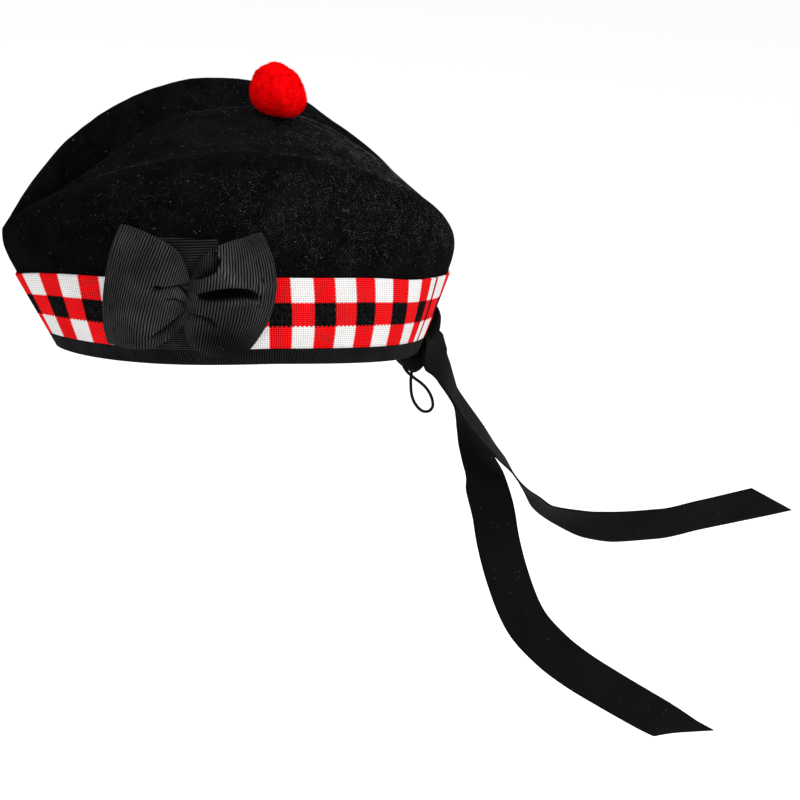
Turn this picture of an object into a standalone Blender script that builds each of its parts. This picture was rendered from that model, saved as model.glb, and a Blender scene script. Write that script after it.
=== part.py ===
# Glengarry: a folded felt cap with a diced band, a ribbon cockade, a toorie and two ribbon tails.
# Metres, +Z up. The front of the cap points to -Y and the wearer's left side to +X.
# The origin is the middle of the head opening, level with the lower edge at the wearer's ears.

import math

import bmesh
import bpy
import numpy as np

# Clearance kept between two pieces that touch on the real cap
GAP = 0.0003

# Head opening
RIM_FRONT = 0.1030
RIM_BACK = 0.1040
RIM_HALF_WIDTH = 0.0780
RIM_FRONT_DIP = 0.0107
RIM_BACK_DIP = 0.0085

# Felt wall, from the rim to the top of the band
FELT_WALL = 0.0024
SIDE_TOP_HEIGHT = 0.0507
FRONT_TOP_HEIGHT = 0.0305
BACK_TOP_HEIGHT = 0.0375
FRONT_FLARE = 0.025
BACK_FLARE = 0.0155
SIDE_FLARE = 0.0065
WALL_BULGE = 0.0032
FRONT_FULLNESS = 0.95
SIDE_FULLNESS = 0.52
HEEL_FULLNESS = 0.80

# Felt above the band: front tip, back shoulder and the two ridges
TIP_REACH = 0.1362
HEEL_REACH = 0.1185
RIDGE_HALF_WIDTH = 0.064
CROWN_HEIGHT = 0.1125
FAR_RISE = 0.020
TOP_FALL = 0.022

# Diced band and edge binding, measured up the slant of the wall from the rim
BINDING_HEIGHT = 0.0088
BINDING_INSIDE = 0.0090
BINDING_EASE = 0.0006
BINDING_CLOTH = 0.0012
BAND_TOP = 0.0495
BAND_CLOTH = 0.0012
FRONT_BAND_DIP = 0.0024
FRONT_BAND_SHARE = 0.17

# Toorie: its middle, its head, and how far the locks stand out of it and narrow to their tips
TOORIE_SIDE = -0.0040
TOORIE_BACK = 0.0135
TOORIE_RADIUS = 0.0130
TOORIE_LOCK = 0.0036
TOORIE_LOCK_TIP = 0.62
TOORIE_SEAT = 0.0012

# Cockade: its middle along the near half outline, its reach along and up the wall, its ribbon
COCKADE_SHARE = 0.350
COCKADE_HALF_LENGTH = 0.0455
COCKADE_LOW = 0.0105
COCKADE_HEIGHT = 0.0650
COCKADE_RIBBON = 0.0010
COCKADE_FOLD = 0.0050
COCKADE_PUFF = 0.0042
BACKING_RIBBON = 0.0010

# Ribbon knot at the back of the rim: its height up the wall, its depth under the rim
KNOT_HALF_WIDTH = 0.0115
KNOT_HEIGHT = 0.0250
KNOT_THICKNESS = 0.0085
KNOT_DROP = 0.0172

# Tails
TAIL_WIDTH = 0.0260
TAIL_RIBBON = 0.0010
TAIL_END_CUT = 0.0285
TAIL_PLANE = 10.0
LOWER_TAIL_LENGTH = 0.332
UPPER_TAIL_LENGTH = 0.288

# Drawstring loop under the knot
CORD_DIAMETER = 0.0018

# Mesh fineness
HALF_COLUMNS = 28
BAND_ROWS = 4
SIDE_ROWS = 6
TOP_CELLS = 12
TOORIE_DIVISIONS = 3
BACKING_CELLS = 8
LOOP_CELLS = 8
KNOT_SIDES = 12
TAIL_STATIONS = 30
CORD_POINTS = 21
TABLE_SHARES = 141
TABLE_ROWS = 97

# Plan outlines: how full the half outline is ahead of and behind its widest place
PLAN_COLUMNS = ("front_power", "front_root", "back_power", "back_root")
PLANS = {
    "rim": (2.2, 1.45, 2.1, 1.9),
    "band_top": (2.7, 1.05, 2.0, 1.8),
    "ridge": (2.0, 1.05, 2.6, 1.9),
}

# Crown top, one row per place along its length from the tip (0) to the heel (1).
# near and far: height of each ridge between tip or heel and the crown's height.
# far_rise: how much of FAR_RISE the far ridge stands above the near one.
# hollow, crest and valley: falls of the top between the ridges, as shares of TOP_FALL.
TOP_COLUMNS = ("place", "height", "far_rise", "hollow", "crest", "valley", "valley_place")
TOP_ROWS = (
    (0.00, 0.475, 0.00, 0.00, 0.00, 0.00, 0.50),
    (0.03, 0.575, 0.02, 0.00, 0.05, 0.10, 0.50),
    (0.10, 0.705, 0.29, 0.15, 0.25, 0.60, 0.58),
    (0.17, 0.806, 0.50, 0.25, 0.34, 1.00, 0.70),
    (0.25, 0.885, 0.68, 0.25, 0.26, 1.00, 0.78),
    (0.36, 0.955, 0.86, 0.10, 0.12, 0.85, 0.83),
    (0.47, 0.985, 1.01, 0.05, 0.03, 0.75, 0.84),
    (0.58, 0.963, 1.14, -0.04, -0.04, 0.60, 0.85),
    (0.70, 0.913, 1.06, -0.06, -0.04, 0.45, 0.86),
    (0.80, 0.838, 0.74, -0.04, -0.02, 0.32, 0.86),
    (0.88, 0.752, 0.45, -0.02, 0.00, 0.16, 0.86),
    (0.95, 0.648, 0.12, 0.00, 0.00, 0.05, 0.86),
    (1.00, 0.530, 0.00, 0.00, 0.00, 0.00, 0.80),
)

# Backing patch of the cockade, one row per height: shares of the cockade's height and half length
BACKING_COLUMNS = ("height", "front_edge", "back_edge")
BACKING_ROWS = (
    (-0.02, -0.59, 0.58),
    (0.10, -0.56, 0.50),
    (0.50, -0.48, 0.42),
    (0.94, -0.41, 0.34),
)

# Cockade loops. Corners are (along, up) in shares of the cockade's half length and height.
# The outer fold bows out between its corners, and a pleat runs in from the gathered middle.
# Opening rows: place from the middle out to the fold, and how far each edge has opened there.
OPENING_COLUMNS = ("place", "front_low", "front_high", "back_low", "back_high")
LOOPS = {
    "cockade_loop_front": {
        "inner_low": (-0.135, 0.285), "inner_high": (-0.015, 0.610),
        "outer_low": (-1.125, 0.045), "outer_high": (-0.770, 1.025),
        "bow": 0.10, "bow_power": 4.0,
        "pleat_place": 0.52, "pleat_depth": 0.55, "pleat_reach": 0.42,
        "opening": (
            (0.00, 0.00, 0.00, 0.00, 0.00),
            (0.07, 0.05, 0.28, 0.26, 0.28),
            (0.13, 0.11, 0.49, 0.42, 0.49),
            (0.20, 0.20, 0.63, 0.58, 0.63),
            (0.35, 0.43, 0.75, 0.79, 0.75),
            (0.50, 0.80, 0.84, 0.88, 0.84),
            (0.70, 0.95, 0.95, 0.96, 0.95),
            (1.00, 1.00, 1.00, 1.00, 1.00),
        ),
    },
    "cockade_loop_back": {
        "inner_low": (-0.120, 0.295), "inner_high": (0.030, 0.605),
        "outer_low": (0.640, 0.000), "outer_high": (0.770, 0.965),
        "bow": 0.19, "bow_power": 2.0,
        "pleat_place": 0.50, "pleat_depth": 0.90, "pleat_reach": 0.85,
        "opening": (
            (0.00, 0.00, 0.00, 0.00, 0.00),
            (0.07, 0.42, 0.05, 0.42, 0.30),
            (0.13, 0.62, 0.10, 0.62, 0.52),
            (0.20, 0.76, 0.16, 0.76, 0.68),
            (0.35, 0.89, 0.32, 0.89, 0.82),
            (0.50, 0.97, 0.66, 0.97, 0.89),
            (0.70, 1.00, 0.92, 1.00, 0.94),
            (1.00, 1.00, 1.00, 1.00, 1.00),
        ),
    },
}

# Ribbon knot on the outside of the wall, from its top down to the rim:
# shares of its height, of its thickness and of its half width
KNOT_WALL_COLUMNS = ("height", "thickness", "width")
KNOT_WALL_ROWS = (
    (1.00, 0.14, 0.70),
    (0.92, 0.46, 0.90),
    (0.76, 0.84, 1.00),
    (0.55, 1.10, 1.00),
    (0.30, 0.98, 0.94),
    (0.07, 0.52, 0.78),
)

# Ribbon knot under the rim: inner and outer places behind and below the rim's back end,
# as shares of its drop, and shares of its half width
KNOT_UNDER_COLUMNS = ("inner_back", "inner_down", "outer_back", "outer_down", "width")
KNOT_UNDER_ROWS = (
    (0.15, 0.03, 0.50, 0.55, 0.74),
    (0.09, 0.04, 0.36, 0.88, 0.74),
    (-0.06, 0.04, 0.11, 1.00, 0.76),
    (-0.25, 0.04, -0.31, 0.78, 0.74),
    (-0.37, 0.08, -0.46, 0.62, 0.65),
)

# Tails, one row per place down the ribbon: back, up and side are shares of its length,
# and turn is how far its face has turned about its own length, in degrees.
TAIL_COLUMNS = ("place", "back", "up", "side", "turn")
LOWER_TAIL_START = (0.0018, 0.1173, -0.0057)
LOWER_TAIL_ROWS = (
    (0.000, 0.000, 0.000, 0.000, 60),
    (0.027, 0.006, -0.027, 0.000, 54),
    (0.068, 0.024, -0.061, -0.006, 65),
    (0.100, 0.041, -0.087, -0.012, 71),
    (0.129, 0.055, -0.112, -0.015, 76),
    (0.154, 0.069, -0.132, -0.018, 70),
    (0.177, 0.080, -0.151, -0.021, 61),
    (0.218, 0.098, -0.188, -0.021, 46),
    (0.250, 0.109, -0.218, -0.021, 43),
    (0.278, 0.121, -0.243, -0.021, 36),
    (0.312, 0.133, -0.275, -0.021, 13),
    (0.364, 0.149, -0.325, -0.018, 2),
    (0.418, 0.162, -0.377, -0.015, 0),
    (0.496, 0.188, -0.451, -0.012, 0),
    (0.587, 0.229, -0.532, -0.009, -2),
    (0.671, 0.287, -0.592, -0.006, -4),
    (0.736, 0.340, -0.631, -0.003, -6),
    (0.802, 0.396, -0.665, 0.000, -8),
    (0.916, 0.495, -0.722, 0.000, -11),
    (1.000, 0.570, -0.763, 0.000, -28),
)
UPPER_TAIL_START = (0.0038, 0.1179, -0.0047)
UPPER_TAIL_ROWS = (
    (0.000, 0.000, 0.000, 0.000, 60),
    (0.037, 0.000, -0.037, 0.007, 54),
    (0.072, 0.015, -0.067, 0.014, 65),
    (0.102, 0.029, -0.093, 0.017, 71),
    (0.131, 0.043, -0.118, 0.021, 76),
    (0.169, 0.066, -0.147, 0.026, 75),
    (0.226, 0.104, -0.189, 0.028, 77),
    (0.286, 0.144, -0.234, 0.026, 83),
    (0.325, 0.172, -0.262, 0.024, 87),
    (0.357, 0.191, -0.287, 0.024, 90),
    (0.415, 0.233, -0.328, 0.021, 104),
    (0.459, 0.264, -0.358, 0.017, 116),
    (0.525, 0.326, -0.384, 0.014, 133),
    (0.585, 0.383, -0.400, 0.010, 146),
    (0.646, 0.444, -0.406, 0.007, 152),
    (0.737, 0.534, -0.403, 0.003, 152),
    (0.828, 0.623, -0.386, 0.003, 152),
    (0.916, 0.710, -0.369, 0.003, 154),
    (1.000, 0.792, -0.353, 0.003, 156),
)

# Route of the drawstring loop: out under the knot, round and back up behind itself
CORD_ROUTE = (
    (0.0045, 0.0990, -0.0215),
    (0.0048, 0.1010, -0.0243),
    (0.0055, 0.1037, -0.0266),
    (0.0060, 0.1061, -0.0284),
    (0.0060, 0.1093, -0.0305),
    (0.0060, 0.1131, -0.0337),
    (0.0060, 0.1163, -0.0379),
    (0.0060, 0.1181, -0.0421),
    (0.0060, 0.1184, -0.0456),
    (0.0058, 0.1172, -0.0476),
    (0.0056, 0.1148, -0.0485),
    (0.0054, 0.1122, -0.0479),
    (0.0052, 0.1096, -0.0458),
    (0.0047, 0.1069, -0.0421),
    (0.0040, 0.1053, -0.0374),
    (0.0034, 0.1048, -0.0329),
    (0.0028, 0.1047, -0.0297),
    (0.0024, 0.1049, -0.0268),
    (0.0024, 0.1050, -0.0252),
)


def clear_scene():
    for item in list(bpy.data.objects):
        bpy.data.objects.remove(item, do_unlink=True)


def make_material(name, color, roughness):
    material = bpy.data.materials.new(name)
    material.use_nodes = True
    shader = material.node_tree.nodes["Principled BSDF"]
    shader.inputs["Base Color"].default_value = (*color, 1.0)
    shader.inputs["Roughness"].default_value = roughness
    shader.inputs["Metallic"].default_value = 0.0
    material.diffuse_color = (*color, 1.0)
    return material


def make_object(name, points, faces, material, smooth_angle=50.0):
    mesh = bpy.data.meshes.new(name)
    mesh.from_pydata([tuple(p) for p in points], [], faces)
    mesh.validate()
    mesh.materials.append(material)
    item = bpy.data.objects.new(name, mesh)
    bpy.context.collection.objects.link(item)
    mesh.shade_smooth()
    mesh.set_sharp_from_angle(angle=math.radians(smooth_angle))
    return item


def table_column(columns, rows, name):
    return np.array([row[columns.index(name)] for row in rows])


def smooth_curve(places, values, at):
    """Cubic curve through a table's values, with slopes that never overshoot a level stretch."""
    places, values, at = (np.asarray(a, float) for a in (places, values, at))
    steps = np.diff(places)
    rises = np.diff(values) / steps
    slopes = np.zeros_like(values)
    same_way = rises[:-1] * rises[1:] > 0
    mean = 2 * rises[:-1] * rises[1:] / np.where(same_way, rises[:-1] + rises[1:], 1)
    slopes[1:-1] = np.where(same_way, mean, 0)
    slopes[0], slopes[-1] = rises[0], rises[-1]
    cell = np.clip(np.searchsorted(places, at, side="right") - 1, 0, len(steps) - 1)
    share = (at - places[cell]) / steps[cell]
    step = steps[cell]
    start = values[cell] * (1 + 2 * share) * (1 - share) ** 2
    end = values[cell + 1] * share**2 * (3 - 2 * share)
    start_slope = slopes[cell] * step * share * (1 - share) ** 2
    end_slope = slopes[cell + 1] * step * share**2 * (share - 1)
    return start + end + start_slope + end_slope


def half_outline(front, back, half_width, plan, shares):
    """Near half of a plan outline from the front crease to the back, at shares of its length."""
    row = dict(zip(PLAN_COLUMNS, PLANS[plan]))
    turn = np.linspace(0, math.pi, 400)
    place = -np.cos(turn)
    ahead = place < 0
    power = np.where(ahead, row["front_power"], row["back_power"])
    root = np.where(ahead, row["front_root"], row["back_root"])
    width = half_width * np.clip(1 - np.abs(place) ** power, 0, 1) ** (1 / root)
    depth = np.where(ahead, front * place, back * place)
    run = np.concatenate([[0], np.cumsum(np.hypot(np.diff(width), np.diff(depth)))])
    run /= run[-1]
    return np.interp(shares, run, width), np.interp(shares, run, depth)


def end_blend(depth, front, back):
    """0 at the sides, 1 at the front or back end, following the square of the reach."""
    return np.clip(np.where(depth < 0, -depth / front, depth / back), 0, 1) ** 2


def rim_height():
    """The felt's rim stands on the binding that is folded round it, whose lower edge is at 0."""
    return BINDING_CLOTH + GAP


def wall_frame(shares):
    """Rim, band top and ridge of the near side at shares of the half outline."""
    width, depth = half_outline(RIM_FRONT, RIM_BACK, RIM_HALF_WIDTH, "rim", shares)
    ends = end_blend(depth, RIM_FRONT, RIM_BACK)
    dip = np.where(depth < 0, RIM_FRONT_DIP * ends**0.8, RIM_BACK_DIP * ends)
    rim = np.stack([width, depth, rim_height() - dip], -1)

    front, back = RIM_FRONT + FRONT_FLARE, RIM_BACK + BACK_FLARE
    width, depth = half_outline(front, back, RIM_HALF_WIDTH + SIDE_FLARE, "band_top", shares)
    ends = end_blend(depth, front, back)
    end_height = np.where(depth < 0, FRONT_TOP_HEIGHT, BACK_TOP_HEIGHT)
    height = SIDE_TOP_HEIGHT + (end_height - SIDE_TOP_HEIGHT) * ends
    band_top = np.stack([width, depth, height], -1)
    return rim, band_top


def ridge_line(shares, side):
    """Ridge points of the near (side 1) or far (side -1) half, from the tip to the heel."""
    width, depth = half_outline(TIP_REACH, HEEL_REACH, RIDGE_HALF_WIDTH, "ridge", shares)
    place = (depth + TIP_REACH) / (TIP_REACH + HEEL_REACH)
    places = table_column(TOP_COLUMNS, TOP_ROWS, "place")
    height = CROWN_HEIGHT * smooth_curve(places, table_column(TOP_COLUMNS, TOP_ROWS, "height"), place)
    if side < 0:
        height = height + FAR_RISE * smooth_curve(places, table_column(TOP_COLUMNS, TOP_ROWS, "far_rise"), place)
    return np.stack([side * width, depth, height], -1), place


def wall_grid(shares, band_rows, side_rows, side):
    """Outer felt surface from rim to ridge: rows by columns of points for one side."""
    rim, band_top = wall_frame(shares)
    mirror = np.array([side, 1, 1])
    rim, band_top = rim * mirror, band_top * mirror
    ridge, _ = ridge_line(shares, side)
    outward = band_top * np.array([1, 1, 0])
    outward /= np.linalg.norm(outward, axis=-1, keepdims=True)

    # The wall bulges over its sides, and runs straight up at the front and back.
    front, back = RIM_FRONT + FRONT_FLARE, RIM_BACK + BACK_FLARE
    depth = band_top[:, 1:2]
    ends = end_blend(depth, front, back)
    bulge = WALL_BULGE * (1 - ends)
    rise = np.linspace(0, 1, band_rows + 1)[:, None, None]
    lower = rim + (band_top - rim) * rise + outward * bulge * np.sin(math.pi * rise)

    # The wall goes on above the band in the direction it has there, and bends over to the ridge.
    lean = (band_top - rim) - outward * bulge * math.pi
    lean /= np.linalg.norm(lean, axis=-1, keepdims=True)
    reach = np.linalg.norm(ridge - band_top, axis=-1, keepdims=True)
    fullness = SIDE_FULLNESS + (np.where(depth < 0, FRONT_FULLNESS, HEEL_FULLNESS) - SIDE_FULLNESS) * ends
    control = band_top + lean * reach * fullness
    rise = np.linspace(0, 1, side_rows + 1)[1:, None, None]
    upper = band_top * (1 - rise) ** 2 + control * 2 * rise * (1 - rise) + ridge * rise**2
    return np.concatenate([lower, upper])


def top_grid(shares, cells):
    """Top of the crown between the ridges: one row of points per share, near to far."""
    near, place = ridge_line(shares, 1)
    far, _ = ridge_line(shares, -1)
    across = np.linspace(0, 1, cells + 1)[None, :]
    places = table_column(TOP_COLUMNS, TOP_ROWS, "place")

    def column(name):
        return smooth_curve(places, table_column(TOP_COLUMNS, TOP_ROWS, name), place)[:, None]

    def bump(middle, reach):
        return np.exp(-(((across - middle) / reach) ** 2))

    window = np.clip(4 * across * (1 - across), 0, 1) ** 0.5
    fall = column("hollow") * bump(0.22, 0.16) + column("crest") * bump(0.55, 0.2)
    fall = (fall + column("valley") * bump(column("valley_place"), 0.13)) * window
    points = near[:, None, :] + (far - near)[:, None, :] * across[..., None]
    points[..., 2] -= TOP_FALL * fall
    return points


def follow_slant(grid, heights):
    """The wall's points and outward normals at heights measured up its slant, column by column."""
    steps = np.linalg.norm(np.diff(grid, axis=0), axis=-1)
    slant = np.concatenate([np.zeros((1, grid.shape[1])), np.cumsum(steps, axis=0)])
    normals = np.cross(np.gradient(grid, axis=1), np.gradient(grid, axis=0))
    heights = heights(slant[-1])
    even = np.empty((2, *heights.shape, 3))
    for column in range(grid.shape[1]):
        for axis in range(3):
            even[0, :, column, axis] = np.interp(heights[:, column], slant[:, column], grid[:, column, axis])
            even[1, :, column, axis] = np.interp(heights[:, column], slant[:, column], normals[:, column, axis])
    even[1] /= np.linalg.norm(even[1], axis=-1, keepdims=True)
    return even, heights


def wall_table(side):
    """One side's wall in equal steps up its slant, with outward normals and the steps' height."""
    grid = wall_grid(np.linspace(0, 1, TABLE_SHARES), 40, 40, side)

    def heights(slants):
        return np.repeat(np.linspace(0, slants.max(), TABLE_ROWS)[:, None], TABLE_SHARES, axis=1)

    even, levels = follow_slant(grid, heights)
    normals = even[1] * side
    # At the front and back creases the offset follows the crease, so both sides meet there.
    for column in (0, -1):
        crease = normals[:, column] * np.array([0, 1, 1])
        normals[:, column] = crease / (crease**2).sum(-1, keepdims=True)
    return {"points": even[0], "normals": normals, "top": levels[-1, 0]}


def on_wall(table, share, slant, out):
    """Points at a share of the half outline, a slant height up the wall and a distance out."""
    share, slant, out = np.broadcast_arrays(share, slant, out)
    column = np.clip(share, 0, 1) * (TABLE_SHARES - 1)
    row = np.clip(slant / table["top"], 0, 1) * (TABLE_ROWS - 1)
    left = np.minimum(column.astype(int), TABLE_SHARES - 2)
    low = np.minimum(row.astype(int), TABLE_ROWS - 2)
    across = (column - left)[..., None]
    rise = (row - low)[..., None]

    def blend(values):
        lower = values[low, left] * (1 - across) + values[low, left + 1] * across
        upper = values[low + 1, left] * (1 - across) + values[low + 1, left + 1] * across
        return lower * (1 - rise) + upper * rise

    return blend(table["points"]) + blend(table["normals"]) * out[..., None]


def ring_faces(rows, columns):
    """Quads of a wall that closes on itself, with the outside on the right when going round."""
    faces = []
    for row in range(rows - 1):
        for column in range(columns):
            after = (column + 1) % columns
            low, high = row * columns, (row + 1) * columns
            faces.append((low + column, low + after, high + after, high + column))
    return faces


def sheet_faces(rows, columns):
    """Quads of an open grid."""
    faces = []
    for row in range(rows - 1):
        for column in range(columns - 1):
            low, high = row * columns + column, (row + 1) * columns + column
            faces.append((low, low + 1, high + 1, high))
    return faces


def give_thickness(item, thickness, offset):
    modifier = item.modifiers.new("thickness", "SOLIDIFY")
    modifier.thickness = thickness
    modifier.offset = offset
    modifier.use_even_offset = True
    modifier.thickness_clamp = 1.0


def join_sides(near, far):
    """Columns of both sides in one ring: along the near side from front to back, then round."""
    return np.concatenate([near, far[:, -2:0:-1]], axis=1)


def band_top_heights(shares):
    """Slant height of the band's top edge, which dips towards the front crease."""
    return BAND_TOP - FRONT_BAND_DIP * np.clip(1 - shares / FRONT_BAND_SHARE, 0, 1) ** 2


def band_heights(shares):
    """Slant heights of the band's rows, from the top of the binding to the top of the band."""
    rise = np.linspace(0, 1, BAND_ROWS + 1)[:, None]
    return BINDING_HEIGHT + (band_top_heights(shares) - BINDING_HEIGHT) * rise


def make_crown(material):
    shares = np.linspace(0, 1, HALF_COLUMNS + 1)

    def heights(slants):
        lower = np.concatenate([0 * slants[None], band_heights(shares)])
        rise = np.linspace(0, 1, SIDE_ROWS + 1)[1:, None]
        return np.concatenate([lower, lower[-1] + (slants - lower[-1]) * rise])

    near = follow_slant(wall_grid(shares, 40, 40, 1), heights)[0][0]
    far = follow_slant(wall_grid(shares, 40, 40, -1), heights)[0][0]
    wall = join_sides(near, far)
    rows, columns = wall.shape[:2]
    points = list(wall.reshape(-1, 3))
    faces = ring_faces(rows, columns)

    top = top_grid(shares, TOP_CELLS)
    ridge_start = (rows - 1) * columns
    index = np.empty(top.shape[:2], int)
    for station in range(HALF_COLUMNS + 1):
        for cell in range(TOP_CELLS + 1):
            if station in (0, HALF_COLUMNS) or cell == 0:
                index[station, cell] = ridge_start + station
            elif cell == TOP_CELLS:
                index[station, cell] = ridge_start + columns - station
            else:
                index[station, cell] = len(points)
                points.append(top[station, cell])
    for station in range(HALF_COLUMNS):
        for cell in range(TOP_CELLS):
            corners = [index[station, cell], index[station + 1, cell],
                       index[station + 1, cell + 1], index[station, cell + 1]]
            corners = [int(c) for i, c in enumerate(corners) if c not in corners[:i]]
            faces.append(tuple(corners))

    crown = make_object("crown", points, faces, material)
    give_thickness(crown, FELT_WALL, -1.0)


def make_band(near_wall, far_wall, material):
    """The diced band lies on the felt from the binding to its top edge."""
    shares = np.linspace(0, 1, HALF_COLUMNS + 1)
    heights = band_heights(shares)
    heights[0] += GAP
    ring = join_sides(on_wall(near_wall, shares, heights, GAP), on_wall(far_wall, shares, heights, GAP))
    band = make_object("dicing_band", ring.reshape(-1, 3), ring_faces(*ring.shape[:2]), material)
    give_thickness(band, BAND_CLOTH, 1.0)


def make_binding(near_wall, far_wall, material):
    """The binding is folded round the rim: up the inside, under the edge and up the outside."""
    inside = -(FELT_WALL + BINDING_EASE)
    shares = np.linspace(0, 1, HALF_COLUMNS + 1)
    profile = (
        (BINDING_INSIDE, inside, 0), (0, inside, GAP),
        (0, GAP, GAP), (BINDING_HEIGHT, GAP, 0),
    )
    sides = []
    for table in (near_wall, far_wall):
        rows = [on_wall(table, shares, height, out) for height, out, below in profile]
        side = np.array(rows)
        side[..., 2] -= np.array([below for height, out, below in profile])[:, None]
        sides.append(side)
    ring = join_sides(*sides)
    binding = make_object("edge_binding", ring.reshape(-1, 3), ring_faces(*ring.shape[:2]), material)
    give_thickness(binding, BINDING_CLOTH, 1.0)


def make_toorie(material):
    """A round head whose faces are drawn out into tapered locks, pressed flat along the felt it is sewn on."""
    mesh = bmesh.new()
    bmesh.ops.create_icosphere(mesh, subdivisions=TOORIE_DIVISIONS, radius=TOORIE_RADIUS)
    locks = bmesh.ops.extrude_discrete_faces(mesh, faces=mesh.faces[:])["faces"]
    for number, face in enumerate(locks):
        middle = face.calc_center_median()
        reach = TOORIE_LOCK * (0.8 + 0.2 * math.sin(2.4 * number))
        for vertex in face.verts:
            tip = middle + (vertex.co - middle) * TOORIE_LOCK_TIP
            vertex.co = tip + middle.normalized() * reach
    points = np.array([tuple(vertex.co) for vertex in mesh.verts])
    faces = [tuple(vertex.index for vertex in face.verts) for face in mesh.faces]
    mesh.free()
    points[:, :2] += (TOORIE_SIDE, TOORIE_BACK)
    surface = top_grid(np.linspace(0, 1, 201), 60).reshape(-1, 3)
    surface = surface[np.hypot(surface[:, 0] - TOORIE_SIDE, surface[:, 1] - TOORIE_BACK) < 2 * TOORIE_RADIUS]

    # The underside lies along the plane that best fits the felt under it.
    near = surface[np.hypot(surface[:, 0] - TOORIE_SIDE, surface[:, 1] - TOORIE_BACK) < TOORIE_RADIUS]
    terms = np.column_stack([near[:, 0] - TOORIE_SIDE, near[:, 1] - TOORIE_BACK, np.ones(len(near))])
    slope = np.linalg.lstsq(terms, near[:, 2], rcond=None)[0]
    plane = (points[:, 0] - TOORIE_SIDE) * slope[0] + (points[:, 1] - TOORIE_BACK) * slope[1]
    rise = points[:, 2] + TOORIE_RADIUS - plane
    points[:, 2] = plane + TOORIE_SEAT * np.log1p(np.exp(rise / TOORIE_SEAT))

    # It is set down until one lock comes within the gap of the felt.
    low = points[rise < TOORIE_RADIUS]
    away = np.hypot(low[:, None, 0] - surface[:, 0], low[:, None, 1] - surface[:, 1])
    points[:, 2] += (surface[away.argmin(1), 2] - low[:, 2]).max() + GAP
    make_object("toorie", points, faces, material, smooth_angle=30.0)


def cockade_points(wall, along, up, out):
    """Points on the wall at shares of the cockade's half length and height, a distance out."""
    width, depth = half_outline(RIM_FRONT + FRONT_FLARE, RIM_BACK + BACK_FLARE,
                                RIM_HALF_WIDTH + SIDE_FLARE, "band_top", np.linspace(0, 1, 200))
    half_round = np.hypot(np.diff(width), np.diff(depth)).sum()
    share = COCKADE_SHARE + along * COCKADE_HALF_LENGTH / half_round
    return on_wall(wall, share, COCKADE_LOW + up * COCKADE_HEIGHT, out)


def make_backing(wall, material):
    """A flat patch of ribbon under the loops, on the band, the binding and the felt."""
    heights = table_column(BACKING_COLUMNS, BACKING_ROWS, "height")
    up = np.linspace(heights[0], heights[-1], BACKING_CELLS + 1)[:, None]
    front = np.interp(up, heights, table_column(BACKING_COLUMNS, BACKING_ROWS, "front_edge"))
    back = np.interp(up, heights, table_column(BACKING_COLUMNS, BACKING_ROWS, "back_edge"))
    along = front + (back - front) * np.linspace(0, 1, BACKING_CELLS + 1)
    grid = cockade_points(wall, along, up, BAND_CLOTH + 2 * GAP)
    faces = sheet_faces(*grid.shape[:2])
    backing = make_object("cockade_backing", grid.reshape(-1, 3), faces, material)
    give_thickness(backing, BACKING_RIBBON, 1.0)


def make_loop(name, wall, material):
    """A folded ribbon: a back sheet out to the fold and a puffed front sheet back to the middle."""
    row = LOOPS[name]
    places = table_column(OPENING_COLUMNS, row["opening"], "place")
    way = math.copysign(1, row["outer_low"][0])
    across = np.linspace(0, 1, LOOP_CELLS + 1)[None, :]
    lying = BAND_CLOTH + BACKING_RIBBON + 3 * GAP + COCKADE_RIBBON / 2
    stack = 2 * COCKADE_RIBBON
    fold = COCKADE_FOLD / COCKADE_HALF_LENGTH

    inner = row["inner_low"][0] + (row["inner_high"][0] - row["inner_low"][0]) * across
    outer = row["outer_low"][0] + (row["outer_high"][0] - row["outer_low"][0]) * across
    outer = outer + way * (row["bow"] * (1 - np.abs(2 * across - 1) ** row["bow_power"]) - fold / 2)

    def edges(place, sheet):
        low_open = smooth_curve(places, table_column(OPENING_COLUMNS, row["opening"], sheet + "_low"), place)
        high_open = smooth_curve(places, table_column(OPENING_COLUMNS, row["opening"], sheet + "_high"), place)
        low = row["inner_low"][1] + (row["outer_low"][1] - row["inner_low"][1]) * low_open
        high = row["inner_high"][1] + (row["outer_high"][1] - row["inner_high"][1]) * high_open
        return low + (high - low) * across

    def front_lift(place):
        rise = stack + (COCKADE_FOLD - stack) * place
        puff = COCKADE_PUFF * np.sin(math.pi * place**0.8) * (0.55 + 0.45 * np.sin(math.pi * across))
        pleat = np.exp(-(((across - row["pleat_place"]) / 0.11) ** 2))
        fade = np.clip(place / 0.12, 0, 1) * np.clip((row["pleat_reach"] - place) / 0.2, 0, 1)
        return rise + puff * (1 - row["pleat_depth"] * pleat * fade)

    sheets = []
    place = (np.linspace(0, 1, LOOP_CELLS + 1) ** 1.25)[:, None]
    sheets.append((inner + (outer - inner) * place, edges(place, "back"), lying + 0 * place * across))
    turn = np.radians([-60, -30, 0, 30, 60])[:, None]
    swing = outer + way * fold / 2 * np.cos(turn)
    rise = lying + COCKADE_FOLD / 2 * (1 + np.sin(turn))
    sheets.append((swing, edges(np.ones((1, 1)), "back") + 0 * turn, rise + 0 * across))
    place = place[::-1]
    sheets.append((inner + (outer - inner) * place, edges(place, "front"), lying + front_lift(place)))
    along, up, out = (np.concatenate([sheet[axis] for sheet in sheets]) for axis in range(3))
    grid = cockade_points(wall, along, up, out)
    if way < 0:
        grid = grid[:, ::-1]
    loop = make_object(name, grid.reshape(-1, 3), sheet_faces(*grid.shape[:2]), material)
    give_thickness(loop, COCKADE_RIBBON, 0.0)


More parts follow.
